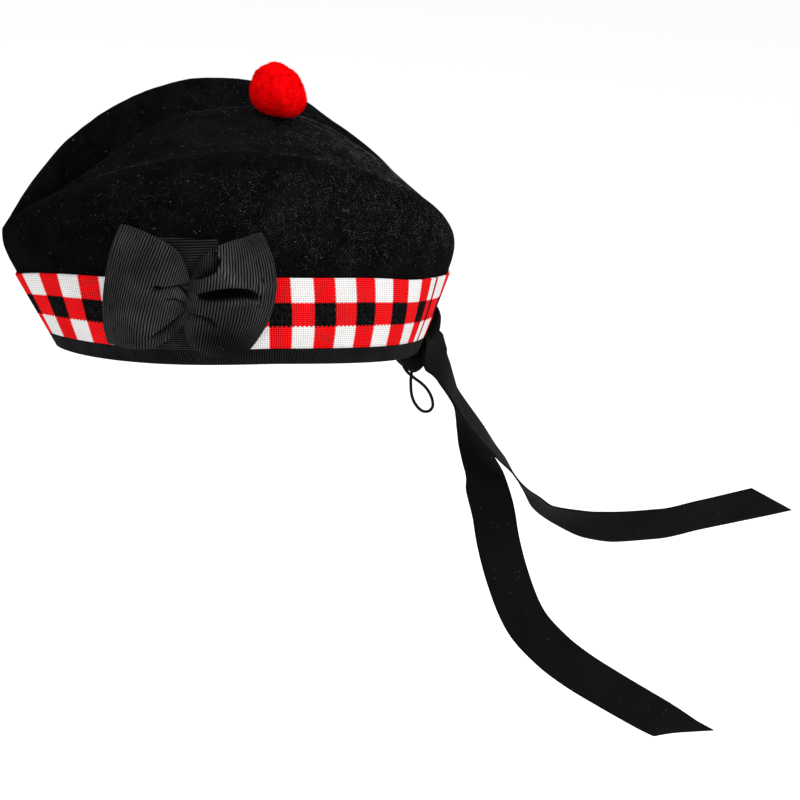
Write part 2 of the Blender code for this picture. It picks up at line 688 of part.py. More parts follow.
def make_knot(wall, material):
    """The folded ribbon at the back: down the outside of the wall and under the rim."""
    seat = max(BAND_CLOTH, BINDING_CLOTH) + 2 * GAP
    wall_rows = {name: table_column(KNOT_WALL_COLUMNS, KNOT_WALL_ROWS, name) for name in KNOT_WALL_COLUMNS}
    slant = wall_rows["height"] * KNOT_HEIGHT
    inner = on_wall(wall, 1.0, slant, seat)
    outer = on_wall(wall, 1.0, slant, seat + wall_rows["thickness"] * KNOT_THICKNESS)

    under = {name: table_column(KNOT_UNDER_COLUMNS, KNOT_UNDER_ROWS, name) for name in KNOT_UNDER_COLUMNS}
    rim_end = np.array([0, RIM_BACK, rim_height() - RIM_BACK_DIP])
    low_inner = np.stack([0 * under["width"], under["inner_back"], -under["inner_down"]], -1) * KNOT_DROP
    low_outer = np.stack([0 * under["width"], under["outer_back"], -under["outer_down"]], -1) * KNOT_DROP
    low_inner[:, 2] -= seat
    inner = np.concatenate([inner, rim_end + low_inner])
    outer = np.concatenate([outer, rim_end + low_outer])
    half_width = KNOT_HALF_WIDTH * np.concatenate([wall_rows["width"], under["width"]])

    turn = np.linspace(0, -2 * math.pi, KNOT_SIDES, endpoint=False)
    side = np.sign(np.cos(turn)) * np.abs(np.cos(turn)) ** 0.8
    depth = np.sign(np.sin(turn)) * np.abs(np.sin(turn)) ** 0.8
    middle, half = (inner + outer) / 2, (outer - inner) / 2
    rings = middle[:, None] + half[:, None] * depth[:, None]
    rings[..., 0] += half_width[:, None] * side
    rows = len(rings)
    faces = ring_faces(rows, KNOT_SIDES)
    faces.append(tuple(range(KNOT_SIDES))[::-1])
    faces.append(tuple(range((rows - 1) * KNOT_SIDES, rows * KNOT_SIDES)))
    make_object("ribbon_knot", rings.reshape(-1, 3), faces, material)


def make_tail(name, start, rows, length, material):
    """A long flat ribbon that turns about its own length, with its end cut on the slant."""
    places = table_column(TAIL_COLUMNS, rows, "place")
    side_way = np.array([math.cos(math.radians(TAIL_PLANE)), -math.sin(math.radians(TAIL_PLANE)), 0])

    def route(place):
        steps = [smooth_curve(places, table_column(TAIL_COLUMNS, rows, axis), np.minimum(place, 1))
                 for axis in ("side", "back", "up")]
        return np.array(start) + length * np.stack(steps, -1)

    across = np.linspace(-1, 1, 3)[None, :]
    place = np.linspace(0, 1, TAIL_STATIONS)[:, None]
    place = place * (1 + across * TAIL_END_CUT / 2 / length)
    step = 0.004
    held = np.clip(place, step, 1 - step)
    along = route(held + step) - route(held - step)
    along /= np.linalg.norm(along, axis=-1, keepdims=True)
    square = np.cross(side_way, along)
    square /= np.linalg.norm(square, axis=-1, keepdims=True)
    turn = np.radians(smooth_curve(places, table_column(TAIL_COLUMNS, rows, "turn"), np.minimum(place, 1)))
    width = square * np.cos(turn)[..., None] - side_way * np.sin(turn)[..., None]
    past = np.maximum(place - 1, 0)[..., None] * length
    grid = route(place) + along * past + width * across[..., None] * TAIL_WIDTH / 2
    tail = make_object(name, grid.reshape(-1, 3), sheet_faces(*grid.shape[:2]), material)
    give_thickness(tail, TAIL_RIBBON, 0.0)


def make_cord(name, route, material):
    """A round cord along a smooth curve through its route."""
    route = np.array(route)
    run = np.concatenate([[0], np.cumsum(np.linalg.norm(np.diff(route, axis=0), axis=1))])
    at = np.linspace(0, run[-1], CORD_POINTS)
    slopes = np.gradient(route, run, axis=0)
    cell = np.clip(np.searchsorted(run, at, side="right") - 1, 0, len(run) - 2)
    step = (run[cell + 1] - run[cell])[:, None]
    share = (at - run[cell])[:, None] / step
    points = route[cell] * (1 + 2 * share) * (1 - share) ** 2 + route[cell + 1] * share**2 * (3 - 2 * share)
    points = points + slopes[cell] * step * share * (1 - share) ** 2
    points = points + slopes[cell + 1] * step * share**2 * (share - 1)

    curve = bpy.data.curves.new(name, "CURVE")
    curve.dimensions = "3D"
    curve.bevel_depth = CORD_DIAMETER / 2
    curve.bevel_resolution = 2
    curve.use_fill_caps = True
    curve.materials.append(material)
    spline = curve.splines.new("POLY")
    spline.points.add(len(points) - 1)
    for point, place in zip(spline.points, points):
        point.co = (*place, 1.0)
    item = bpy.data.objects.new(name, curve)
    bpy.context.collection.objects.link(item)


clear_scene()
felt = make_material("black_felt", (0.012, 0.012, 0.013), 0.95)
dicing = make_material("diced_wool", (0.60, 0.10, 0.10), 0.9)
grosgrain = make_material("black_grosgrain", (0.015, 0.015, 0.016), 0.7)
wool = make_material("red_wool", (0.75, 0.01, 0.015), 0.95)
ribbon = make_material("black_satin_ribbon", (0.013, 0.013, 0.014), 0.5)
cord = make_material("black_cord", (0.012, 0.012, 0.012), 0.8)
near_wall, far_wall = wall_table(1), wall_table(-1)
make_crown(felt)
make_band(near_wall, far_wall, dicing)
make_binding(near_wall, far_wall, grosgrain)
make_toorie(wool)
make_backing(near_wall, grosgrain)
for loop_name in LOOPS:
    make_loop(loop_name, near_wall, grosgrain)
make_knot(near_wall, ribbon)
make_tail("tail_lower", LOWER_TAIL_START, LOWER_TAIL_ROWS, LOWER_TAIL_LENGTH, ribbon)
make_tail("tail_upper", UPPER_TAIL_START, UPPER_TAIL_ROWS, UPPER_TAIL_LENGTH, ribbon)
make_cord("drawstring_loop", CORD_ROUTE, cord)
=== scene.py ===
import math
import bmesh
import bpy
import numpy as np
from mathutils import Matrix


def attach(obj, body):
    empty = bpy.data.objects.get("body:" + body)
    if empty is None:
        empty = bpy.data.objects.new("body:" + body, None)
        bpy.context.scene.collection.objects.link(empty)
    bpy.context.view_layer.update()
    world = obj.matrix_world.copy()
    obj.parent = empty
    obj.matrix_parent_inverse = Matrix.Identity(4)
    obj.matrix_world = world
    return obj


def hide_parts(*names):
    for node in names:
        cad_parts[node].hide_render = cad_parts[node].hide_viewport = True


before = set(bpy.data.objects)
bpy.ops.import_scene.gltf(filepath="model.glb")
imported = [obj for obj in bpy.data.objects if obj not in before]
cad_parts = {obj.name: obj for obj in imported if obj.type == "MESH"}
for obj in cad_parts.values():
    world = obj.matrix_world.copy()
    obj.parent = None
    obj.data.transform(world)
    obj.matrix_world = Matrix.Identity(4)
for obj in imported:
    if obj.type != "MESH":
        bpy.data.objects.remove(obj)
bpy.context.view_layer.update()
print("frame loaded")

# Metres, +Z up, the cap's front towards -Y, its cockade on +X.

view = {
    "azimuth": 70.0, "elevation": 15.0, "roll": 5.0, "distance": 1.6, "scale": 0.000565, "pixels": 800,
    "originPixel": (239.0, 328.0), "sensor": 36.0,
}


def placeObject(name, data, axes=None, place=None):
    # Links a new object; the camera and the lights are turned to their axes and moved to their place.
    item = bpy.data.objects.new(name, data)
    bpy.context.scene.collection.objects.link(item)
    if axes is not None:
        turned = np.eye(4)
        turned[:3, :3], turned[:3, 3] = np.stack(axes, -1), place
        item.matrix_world = Matrix(turned.tolist())
    return item


def makeCamera():
    # The camera looks from azimuth and elevation at the point that puts the cap's origin on its pixel.
    a, e, r = (math.radians(view[k]) for k in ("azimuth", "elevation", "roll"))
    back = np.array([math.sin(a) * math.cos(e), -math.cos(a) * math.cos(e), math.sin(e)])
    right = np.array([math.cos(a), math.sin(a), 0.0])
    up = np.cross(back, right)
    right, up = right * math.cos(r) + up * math.sin(r), up * math.cos(r) - right * math.sin(r)
    column, row = view["originPixel"]
    middle = view["pixels"] / 2
    target = (middle - column) * view["scale"] * right + (row - middle) * view["scale"] * up
    data = bpy.data.cameras.new("camera")
    data.sensor_width = view["sensor"]
    data.lens = view["distance"] / view["scale"] * data.sensor_width / view["pixels"]
    data.clip_end = 60.0
    bpy.context.scene.camera = placeObject("camera", data, (right, up, back), target + view["distance"] * back)


makeCamera()
bpy.context.scene.view_settings.view_transform = "Standard"
print("camera placed")

# Helpers for meshes


def newMesh(name, points, faces, material, uv=None):
    mesh = bpy.data.meshes.new(name)
    points = np.asarray(points, float).reshape(-1, 3)
    mesh.from_pydata(points.tolist(), [], faces.tolist() if hasattr(faces, "tolist") else faces)
    if uv is not None:
        layer = mesh.uv_layers.new(name="UVMap")
        corners = np.empty(len(mesh.loops), int)
        mesh.loops.foreach_get("vertex_index", corners)
        layer.data.foreach_set("uv", np.asarray(uv, float).reshape(-1, 2)[corners].ravel())
    mesh.materials.append(material)
    mesh.shade_smooth()
    return placeObject(name, mesh)


def gridFaces(rows, columns, closed=False):
    # Quads of a grid whose point (i, j) is number i * columns + j; closed joins the last column to the first.
    i, j = np.meshgrid(np.arange(rows - 1), np.arange(columns if closed else columns - 1), indexing="ij")
    after = (j + 1) % columns
    corners = [i * columns + j, i * columns + after, (i + 1) * columns + after, (i + 1) * columns + j]
    return np.stack(corners, -1).reshape(-1, 4)


def weld(item, distance=2e-6):
    # Merges points that coincide, as where both ends of a grid meet.
    work = bmesh.new()
    work.from_mesh(item.data)
    bmesh.ops.remove_doubles(work, verts=work.verts, dist=distance)
    work.to_mesh(item.data)
    work.free()


def finishPiece(item, slot, *nodes):
    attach(item, "root")
    if nodes:
        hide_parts(*nodes)


def makeCloth(name, grid, material, slot, node, thickness, offset, uv=None, welded=False):
    # A piece made of one sheet of quads that is thickened to one side or to both, with its ends joined if welded.
    item = newMesh(name, grid, gridFaces(*grid.shape[:2]), material, uv)
    if welded:
        weld(item)
    modifier = item.modifiers.new("thickness", "SOLIDIFY")
    modifier.thickness, modifier.offset = thickness, offset
    finishPiece(item, slot, node)
    return item


def smoothNoise(points, size, seed, waves=24):
    # Mean of sine waves in seeded directions, each about one size long, scaled to about -1 to 1.
    rng = np.random.default_rng(seed)
    ways = rng.normal(size=(waves, 3))
    ways *= (2 * math.pi / size * rng.uniform(0.6, 1.4, waves) / np.linalg.norm(ways, axis=1))[:, None]
    return np.sin(np.asarray(points) @ ways.T + rng.uniform(0, 2 * math.pi, waves)).mean(-1) * 3.0


def cubicCurve(places, values, slopes, at):
    # Cubic through the values with the slopes given there; values may be points.
    cell = np.clip(np.searchsorted(places, at, side="right") - 1, 0, len(places) - 2)
    step = np.diff(places)[cell]
    share = (at - places[cell]) / step
    if values.ndim > 1:
        share, step = share[:, None], step[:, None]
    return (values[cell] * (1 + 2 * share) * (1 - share) ** 2 + values[cell + 1] * share**2 * (3 - 2 * share)
            + slopes[cell] * step * share * (1 - share) ** 2 + slopes[cell + 1] * step * share**2 * (share - 1))


def bell(at, middle, width):
    return np.exp(-(((at - middle) / width) ** 2))


def ramp(at, start, width):
    return np.clip((at - start) / width, 0, 1)


def smoothCurve(places, values, at):
    # Cubic whose slopes are harmonic means of the rises beside the values, so it never overshoots.
    places, values, at = (np.asarray(a, float) for a in (places, values, at))
    rises = np.diff(values) / np.diff(places)
    sameWay = rises[:-1] * rises[1:] > 0
    inner = np.where(sameWay, 2 * rises[:-1] * rises[1:] / np.where(sameWay, rises[:-1] + rises[1:], 1), 0)
    return cubicCurve(places, values, np.concatenate([rises[:1], inner, rises[-1:]]), at)


def smoothColumns(table, at, *columns):
    return [smoothCurve(table[:, 0], table[:, column], at) for column in columns]


def unit(vectors):
    return vectors / np.maximum(np.linalg.norm(vectors, axis=-1, keepdims=True), 1e-12)


def makeFibres(name, roots, ways, normals, lengths, look, material):
    # Each fibre runs from its root along its way, swings sideways as a sine, stands up by lift as a half sine,
    # and is a three-sided tube that narrows to its ends.
    rng = np.random.default_rng(look["seed"])
    count, steps = len(roots), look["steps"]
    t = np.linspace(0, 1, steps)
    sides = unit(np.cross(normals, ways))
    swing = np.sin(t * rng.uniform(3, 8, count)[:, None] + rng.uniform(0, 6.3, count)[:, None])
    swing -= swing[:, :1]
    rise = np.sin(math.pi * t * rng.uniform(0.5, 1.0, count)[:, None])
    scale = lengths[:, None]
    path = (roots[:, None] + ways[:, None] * (scale * t)[..., None]
            + sides[:, None] * (scale * swing * look["curl"] * rng.uniform(0.3, 1.0, count)[:, None])[..., None]
            + normals[:, None] * (scale * rise * look["lift"] * rng.uniform(0.1, 1.0, count)[:, None])[..., None])
    turn = (np.arange(3) * 2 * math.pi / 3)[None, None, :, None]
    width = look["radius"] * (0.35 + 0.65 * np.sin(math.pi * np.clip(t, 0.04, 0.96)))
    ring = sides[:, None, None] * np.cos(turn) + normals[:, None, None] * np.sin(turn)
    points = path[:, :, None] + ring * width[None, :, None, None]
    first = (np.arange(count) * steps * 3)[:, None, None]
    last = (steps - 1) * 3
    faces = (gridFaces(steps, 3, True)[None] + first).reshape(-1, 4).tolist()
    faces += (np.array([[[0, 2, 1], [last, last + 1, last + 2]]]) + first).reshape(-1, 3).tolist()
    return newMesh(name, points, faces, material)


# Helpers for materials


def addNode(tree, kind, values=None, **settings):
    node = tree.nodes.new(kind)
    for key, value in settings.items():
        setattr(node, key, value)
    for key, value in (values or {}).items():
        if isinstance(value, bpy.types.NodeSocket):
            tree.links.new(value, node.inputs[key])
        else:
            node.inputs[key].default_value = value
    return node


def mathNode(tree, operation, *values):
    return addNode(tree, "ShaderNodeMath", dict(enumerate(values)), operation=operation).outputs[0]


def times(tree, *values):
    return mathNode(tree, "MULTIPLY", *values)


def plus(tree, *values):
    return mathNode(tree, "ADD", *values)


def mixColors(tree, factor, first, second, blend="MIX"):
    values = {0: factor, 6: first, 7: second}
    for key in (6, 7):
        if not isinstance(values[key], bpy.types.NodeSocket):
            values[key] = (*values[key], 1.0)
    return addNode(tree, "ShaderNodeMix", values, data_type="RGBA", blend_type=blend).outputs[2]


def remap(tree, value, low, high, toLow=0.0, toHigh=1.0):
    return addNode(tree, "ShaderNodeMapRange", {0: value, 1: low, 2: high, 3: toLow, 4: toHigh}).outputs[0]


def noise(tree, vector, scale, detail=2.0, roughness=0.5, distortion=0.0):
    values = {"Vector": vector, "Scale": scale, "Detail": detail, "Roughness": roughness}
    return addNode(tree, "ShaderNodeTexNoise", {**values, "Distortion": distortion}).outputs[0]


def drift(tree, place, scale, detail, dark, light, low=0.3, high=0.7, roughness=0.5):
    # Two colours mixed by a noise between its low and its high value.
    return mixColors(tree, remap(tree, noise(tree, place, scale, detail, roughness), low, high), dark, light)


def mapping(tree, vector, scale=(1, 1, 1), turn=(0, 0, 0)):
    return addNode(tree, "ShaderNodeMapping", {"Vector": vector, "Scale": scale, "Rotation": turn}).outputs[0]


def splitVector(tree, vector):
    return addNode(tree, "ShaderNodeSeparateXYZ", {0: vector}).outputs


def grayOf(tree, value):
    return addNode(tree, "ShaderNodeCombineXYZ", {0: value, 1: value, 2: value}).outputs[0]


def useGroup(tree, group, **values):
    return addNode(tree, "ShaderNodeGroup", values, node_tree=group).outputs


def newMaterial(name, roughness, specular=None):
    # Returns the material with its tree, its Principled shader and its coordinates.
    material = bpy.data.materials.new(name)
    material.use_nodes = True
    tree = material.node_tree
    shader = tree.nodes["Principled BSDF"]
    shader.inputs["Roughness"].default_value = roughness
    if specular is not None:
        shader.inputs["Specular IOR Level"].default_value = specular
    return material, tree, shader, addNode(tree, "ShaderNodeTexCoord").outputs


def setLook(tree, shader, color, height=None, strength=1.0, distance=0.001):
    tree.links.new(color, shader.inputs["Base Color"])
    if height is not None:
        bump = addNode(tree, "ShaderNodeBump", {"Height": height, "Strength": strength, "Distance": distance})
        tree.links.new(bump.outputs[0], shader.inputs["Normal"])


def newGroup(name, inputs, outputs):
    # A node group with named sockets, numbers except Vector and Color: returns its tree, its inputs and a function
    # that sets an output.
    tree = bpy.data.node_groups.new(name, "ShaderNodeTree")
    kinds = {"Vector": "NodeSocketVector", "Color": "NodeSocketColor"}
    for way, keys in (("INPUT", inputs), ("OUTPUT", outputs)):
        for key in keys:
            tree.interface.new_socket(key, in_out=way, socket_type=kinds.get(key, "NodeSocketFloat"))
    source, sink = addNode(tree, "NodeGroupInput"), addNode(tree, "NodeGroupOutput")
    return tree, source.outputs, lambda key, value: tree.links.new(value, sink.inputs[key])


def makeWeaveGroup():
    # Plain weave on thread coordinates: threads are half rounds, and the over thread changes from cell to cell.
    tree, source, put = newGroup("weave", ["Vector"], ["Height", "Gap", "Over"])
    parts = splitVector(tree, source["Vector"])
    rounds, cells, threads = [], [], []
    for axis in (0, 1):
        rounds.append(mathNode(tree, "SINE", times(tree, mathNode(tree, "FRACT", parts[axis]), math.pi)))
        cells.append(mathNode(tree, "FLOOR", parts[axis]))
    over = mathNode(tree, "FLOORED_MODULO", plus(tree, *cells), 2.0)
    for along, across in (rounds, rounds[::-1]):
        threads.append(times(tree, mathNode(tree, "POWER", along, 0.5), mathNode(tree, "POWER", across, 0.3)))
    height = addNode(tree, "ShaderNodeMix", {0: over, 2: threads[0], 3: threads[1]}).outputs[0]
    put("Height", height)
    # Gap marks where the threads dip, which the diced material darkens as painted shade.
    put("Gap", remap(tree, height, 0.80, 0.30))
    put("Over", over)
    return tree


def makeRibGroup():
    # Ribs across the first coordinate, a rib to a unit, with fine threads crossing them.
    tree, source, put = newGroup("ribs", ["Vector", "Waver"], ["Height", "Groove"])
    vector = source["Vector"]
    parts = splitVector(tree, vector)
    waver = times(tree, mathNode(tree, "SUBTRACT", noise(tree, vector, 0.4, 1.0), 0.5), source["Waver"])
    share = mathNode(tree, "FRACT", plus(tree, parts[0], waver))
    rib = mathNode(tree, "POWER", mathNode(tree, "SINE", times(tree, share, math.pi)), 0.7)
    thread = mathNode(tree, "SINE", times(tree, parts[1], 2 * math.pi))
    put("Height", plus(tree, rib, times(tree, times(tree, thread, rib), 0.12)))
    # Groove marks the hollows between ribs, which the ribbed materials paint dark as shade.
    put("Groove", remap(tree, rib, 1.0, 0.52))
    return tree


def makeHairGroup():
    # Thin curly lines where two warped noises cross their middle value, thinned out by a slow noise.
    tree, source, put = newGroup("hairs", ["Vector", "Scale", "Width"], ["Mask"])
    vector, size = source["Vector"], source["Scale"]
    lines = []
    for turn, stretch in ((0.4, 1.0), (1.9, 1.7)):
        place = mapping(tree, vector, (1.0, stretch, 1.0), (turn, turn * 1.7, turn * 0.6))
        away = mathNode(tree, "ABSOLUTE", mathNode(tree, "SUBTRACT", noise(tree, place, size, 1.0, 0.5, 0.4), 0.5))
        line = mathNode(tree, "LESS_THAN", away, source["Width"])
        slow = noise(tree, mapping(tree, vector, turn=(turn, 0, turn)), times(tree, size, 0.9), 0.0)
        lines.append(times(tree, line, mathNode(tree, "GREATER_THAN", slow, 0.54)))
    put("Mask", mathNode(tree, "MAXIMUM", *lines))
    return tree


def makeDustGroup():
    # Small pale specks and a slow drift of colour, as lint and handling leave on dark cloth.
    tree, source, put = newGroup("dust", ["Vector", "Color", "Amount", "Drift"], ["Color"])
    vector = source["Vector"]
    cells = addNode(tree, "ShaderNodeTexVoronoi", {"Vector": vector, "Scale": 420.0}).outputs["Distance"]
    thin = mathNode(tree, "GREATER_THAN", noise(tree, vector, 160.0, 0.0), 0.66)
    speck = times(tree, times(tree, mathNode(tree, "LESS_THAN", cells, 0.12), thin), source["Amount"])
    slow = remap(tree, noise(tree, vector, 28.0, 3.0), 0.3, 0.7, -1.0, 1.0)
    shade = grayOf(tree, plus(tree, 1.0, times(tree, slow, source["Drift"])))
    color = mixColors(tree, 1.0, source["Color"], shade, "MULTIPLY")
    put("Color", mixColors(tree, speck, color, (0.30, 0.29, 0.28)))
    return tree


weaveGroup, ribGroup = makeWeaveGroup(), makeRibGroup()
hairGroup, dustGroup = makeHairGroup(), makeDustGroup()


def dusted(tree, place, color, amount, drift):
    return useGroup(tree, dustGroup, Vector=place, Color=color, Amount=amount, Drift=drift)["Color"]


print("node groups made")

# The cap's form: sizes in metres, shares and rows as the solids have them

cap = {
    "gap": 0.0003, "cloth": 0.0012, "felt": 0.0024,
    "rimFront": 0.1030, "rimBack": 0.1040, "rimHalfWidth": 0.0780, "rimFrontDip": 0.0107, "rimBackDip": 0.0085,
    "sideTop": 0.0507, "frontTop": 0.0305, "backTop": 0.0375,
    "sideFlare": 0.0065, "frontFlare": 0.025, "backFlare": 0.0155, "wallBulge": 0.0032,
    "sideFullness": 0.52, "frontFullness": 0.95, "heelFullness": 0.80,
    "tipReach": 0.1378, "heelReach": 0.1185, "ridgeHalfWidth": 0.064, "crownHeight": 0.1125, "farRise": 0.020,
    "topFall": 0.022, "hollow": (0.22, 0.16), "crest": (0.55, 0.20), "valleyWidth": 0.13,
    "bindingHeight": 0.0088, "bindingInside": 0.0090, "bindingEase": 0.0006,
    "bandTop": 0.0495, "bandDip": 0.0024, "bandDipShare": 0.17,
    "columns": 201, "wallRows": 44, "topCells": 52, "slantRows": 60, "tableColumns": 281, "tableRows": 161,
}
plans = {  # front, back, half width, front power and root, back power and root
    "rim": (cap["rimFront"], cap["rimBack"], cap["rimHalfWidth"], 2.2, 1.45, 2.1, 1.9),
    "bandTop": (cap["rimFront"] + cap["frontFlare"], cap["rimBack"] + cap["backFlare"],
                cap["rimHalfWidth"] + cap["sideFlare"], 2.7, 1.05, 2.0, 1.8),
    "ridge": (cap["tipReach"], cap["heelReach"], cap["ridgeHalfWidth"], 2.0, 1.05, 2.6, 1.9),
}
topRows = np.array([  # place, height, far rise, hollow, crest, valley, valley place
    (0.00, 0.475, 0.00, 0.00, 0.00, 0.00, 0.50), (0.03, 0.575, 0.02, 0.00, 0.05, 0.10, 0.50),
    (0.10, 0.705, 0.26, 0.15, 0.25, 0.60, 0.58), (0.17, 0.806, 0.50, 0.25, 0.34, 1.00, 0.70),
    (0.25, 0.885, 0.68, 0.25, 0.26, 1.00, 0.78), (0.36, 0.955, 0.86, 0.10, 0.12, 0.85, 0.83),
    (0.47, 0.985, 1.01, 0.05, 0.03, 0.75, 0.84), (0.58, 0.963, 1.14, -0.04, -0.04, 0.60, 0.85),
    (0.70, 0.913, 1.03, -0.06, -0.04, 0.45, 0.86), (0.80, 0.838, 0.68, -0.04, -0.02, 0.32, 0.86),
    (0.88, 0.752, 0.45, -0.02, 0.00, 0.16, 0.86), (0.95, 0.648, 0.12, 0.00, 0.00, 0.05, 0.86),
    (1.00, 0.530, 0.00, 0.00, 0.00, 0.00, 0.80),
])


def halfOutline(plan, shares):
    # A half outline at shares of its length: its width falls from the middle as 1 - place to a power, taken to a
    # root. Also says how near each point is to the creases, as the square of its place.
    front, back, halfWidth, frontPower, frontRoot, backPower, backRoot = plans[plan]
    place = -np.cos(np.linspace(0, math.pi, 400))
    power, root = np.where(place < 0, frontPower, backPower), np.where(place < 0, frontRoot, backRoot)
    width = halfWidth * np.clip(1 - np.abs(place) ** power, 0, 1) ** (1 / root)
    depth = np.where(place < 0, front * place, back * place)
    run = np.concatenate([[0], np.cumsum(np.hypot(np.diff(width), np.diff(depth)))])
    width, depth = np.interp(shares, run / run[-1], width), np.interp(shares, run / run[-1], depth)
    return width, depth, np.clip(np.where(depth < 0, -depth / front, depth / back), 0, 1) ** 2


def ridgeLine(shares, side):
    width, depth = halfOutline("ridge", shares)[:2]
    place = (depth + cap["tipReach"]) / (cap["tipReach"] + cap["heelReach"])
    high, farRise = smoothColumns(topRows, place, 1, 2)
    height = cap["crownHeight"] * high + (cap["farRise"] * farRise if side < 0 else 0)
    return np.stack([side * width, depth, height], -1), place


def wallGrid(shares, side):
    # Rim to band top is straight with a sine bulge that fades to both creases; band top to ridge is a quadratic curve
    # that goes on in its lean.
    width, depth, ends = halfOutline("rim", shares)
    dip = np.where(depth < 0, cap["rimFrontDip"] * ends**0.8, cap["rimBackDip"] * ends)
    rim = np.stack([side * width, depth, cap["cloth"] + cap["gap"] - dip], -1)
    width, depth, ends = halfOutline("bandTop", shares)
    endHeight = np.where(depth < 0, cap["frontTop"], cap["backTop"])
    bandTop = np.stack([side * width, depth, cap["sideTop"] + (endHeight - cap["sideTop"]) * ends], -1)
    ridge = ridgeLine(shares, side)[0]
    outward = unit(bandTop * np.array([1, 1, 0]))
    rise = np.linspace(0, 1, cap["slantRows"] + 1)[:, None, None]
    bulge = outward * (cap["wallBulge"] * (1 - ends))[:, None]
    lower = rim + (bandTop - rim) * rise + bulge * np.sin(math.pi * rise)
    lean = unit((bandTop - rim) - bulge * math.pi)
    endFullness = np.where(depth < 0, cap["frontFullness"], cap["heelFullness"])
    fullness = cap["sideFullness"] + (endFullness - cap["sideFullness"]) * ends
    control = bandTop + lean * np.linalg.norm(ridge - bandTop, axis=-1, keepdims=True) * fullness[:, None]
    rise = rise[1:]
    upper = bandTop * (1 - rise) ** 2 + control * 2 * rise * (1 - rise) + ridge * rise**2
    return np.concatenate([lower, upper])


def topGrid(shares):
    # Straight from near to far ridge, less a sum of Gaussian falls: the hollow, the crest and the deep valley.
    near, place = ridgeLine(shares, 1)
    far = ridgeLine(shares, -1)[0]
    across = np.linspace(0, 1, cap["topCells"] + 1)[None, :]
    columns = smoothColumns(topRows, place, 3, 4, 5, 6)
    hollow, crest, valley, valleyPlace = (column[:, None] for column in columns)
    fall = hollow * bell(across, *cap["hollow"]) + crest * bell(across, *cap["crest"])
    fall = fall + valley * bell(across, valleyPlace, cap["valleyWidth"])
    points = near[:, None, :] + (far - near)[:, None, :] * across[..., None]
    points[..., 2] -= cap["topFall"] * (fall * np.clip(4 * across * (1 - across), 0, 1) ** 0.5)
    return points


def alongColumns(values, slant, heights):
    # Linear interpolation of values up each column of the grid, at heights measured up its slant.
    low = np.clip((slant[None] <= heights[:, None]).sum(1) - 1, 0, len(slant) - 2)
    base, above = np.take_along_axis(slant, low, 0), np.take_along_axis(slant, low + 1, 0)
    share = np.clip((heights - base) / np.maximum(above - base, 1e-9), 0, 1)[..., None]
    under, over = (np.take_along_axis(values, (low + k)[..., None], 0) for k in (0, 1))
    return under * (1 - share) + over * share


def lengthAlong(points):
    # The length from the first row of points to each row.
    steps = np.linalg.norm(np.diff(points, axis=0), axis=-1)
    return np.concatenate([0 * steps[:1], np.cumsum(steps, axis=0)])


def gridNormals(grid):
    return unit(np.cross(np.gradient(grid, axis=1), np.gradient(grid, axis=0)))


def wallTable(side):
    # The wall's points and normals at even shares and slant heights.
    grid = wallGrid(np.linspace(0, 1, cap["tableColumns"]), side)
    slant = lengthAlong(grid)
    heights = np.linspace(0, slant[-1].max(), cap["tableRows"])[:, None] + 0 * slant[:1]
    points, normals = alongColumns(grid, slant, heights), unit(alongColumns(gridNormals(grid) * side, slant, heights))
    for column in (0, -1):  # at the creases both sides move out along the crease
        crease = normals[:, column] * np.array([0, 1, 1])
        normals[:, column] = crease / (crease**2).sum(-1, keepdims=True)
    return {"points": points, "normals": normals, "top": heights[-1, 0]}


walls = {1: wallTable(1), -1: wallTable(-1)}


def onWall(side, share, slant, out):
    # Bilinear reading of the wall table at a share of the half outline and a slant height, moved out along the
    # normal.
    share, slant, out = np.broadcast_arrays(share, slant, out)
    rows, columns = walls[side]["points"].shape[:2]
    column = np.clip(share, 0, 1) * (columns - 1)
    row = np.clip(slant / walls[side]["top"], 0, 1) * (rows - 1)
    left, low = np.minimum(column.astype(int), columns - 2), np.minimum(row.astype(int), rows - 2)
    across, rise = (column - left)[..., None], (row - low)[..., None]

    def blend(values):
        return ((values[low, left] * (1 - across) + values[low, left + 1] * across) * (1 - rise)
                + (values[low + 1, left] * (1 - across) + values[low + 1, left + 1] * across) * rise)

    return blend(walls[side]["points"]) + blend(walls[side]["normals"]) * out[..., None]


# Felt body


def makeFeltMaterial():
    # Black felt from a noise, with grey hairs where the hair masks are, in patches and fewer at the front and on the
    # far side.
    material, tree, shader, coordinates = newMaterial("blackFelt", 1.0, 0.01)
    place = coordinates["Object"]
    base = drift(tree, place, 90.0, 4.0, (0.0006, 0.0006, 0.0007), (0.0024, 0.0024, 0.0025), roughness=0.7)
    fine = useGroup(tree, hairGroup, Vector=place, Scale=1150.0, Width=0.036)["Mask"]
    coarse = useGroup(tree, hairGroup, Vector=place, Scale=560.0, Width=0.012)["Mask"]
    hairs = mathNode(tree, "MAXIMUM", fine, times(tree, coarse, 0.6))
    patches = remap(tree, noise(tree, place, 70.0, 3.0, 0.6), 0.40, 0.66, 0.22, 1.0)
    parts = splitVector(tree, place)
    front, far = remap(tree, parts[1], -0.10, 0.01, 0.40, 1.0), remap(tree, parts[0], -0.03, 0.03, 0.55, 1.0)
    shown = times(tree, hairs, times(tree, patches, times(tree, front, far)))
    color = mixColors(tree, shown, base, (0.0125, 0.0125, 0.0128))
    fuzz = plus(tree, noise(tree, place, 700.0, 4.0, 0.7), times(tree, hairs, 0.5))
    height = plus(tree, fuzz, noise(tree, place, 140.0, 2.0))
    setLook(tree, shader, dusted(tree, place, color, 0.25, 0.25), height, 0.8, 0.0006)
    return material


feltBody = {
    "ridgeRound": 0.0035, "smoothings": 14, "wobble": 0.00035, "wobbleSize": 0.034, "wobbleSeed": 3,
    "ripple": 0.00012, "rippleSize": 0.009, "rippleSeed": 4, "freeFrom": 0.056, "freeRamp": 0.012,
}


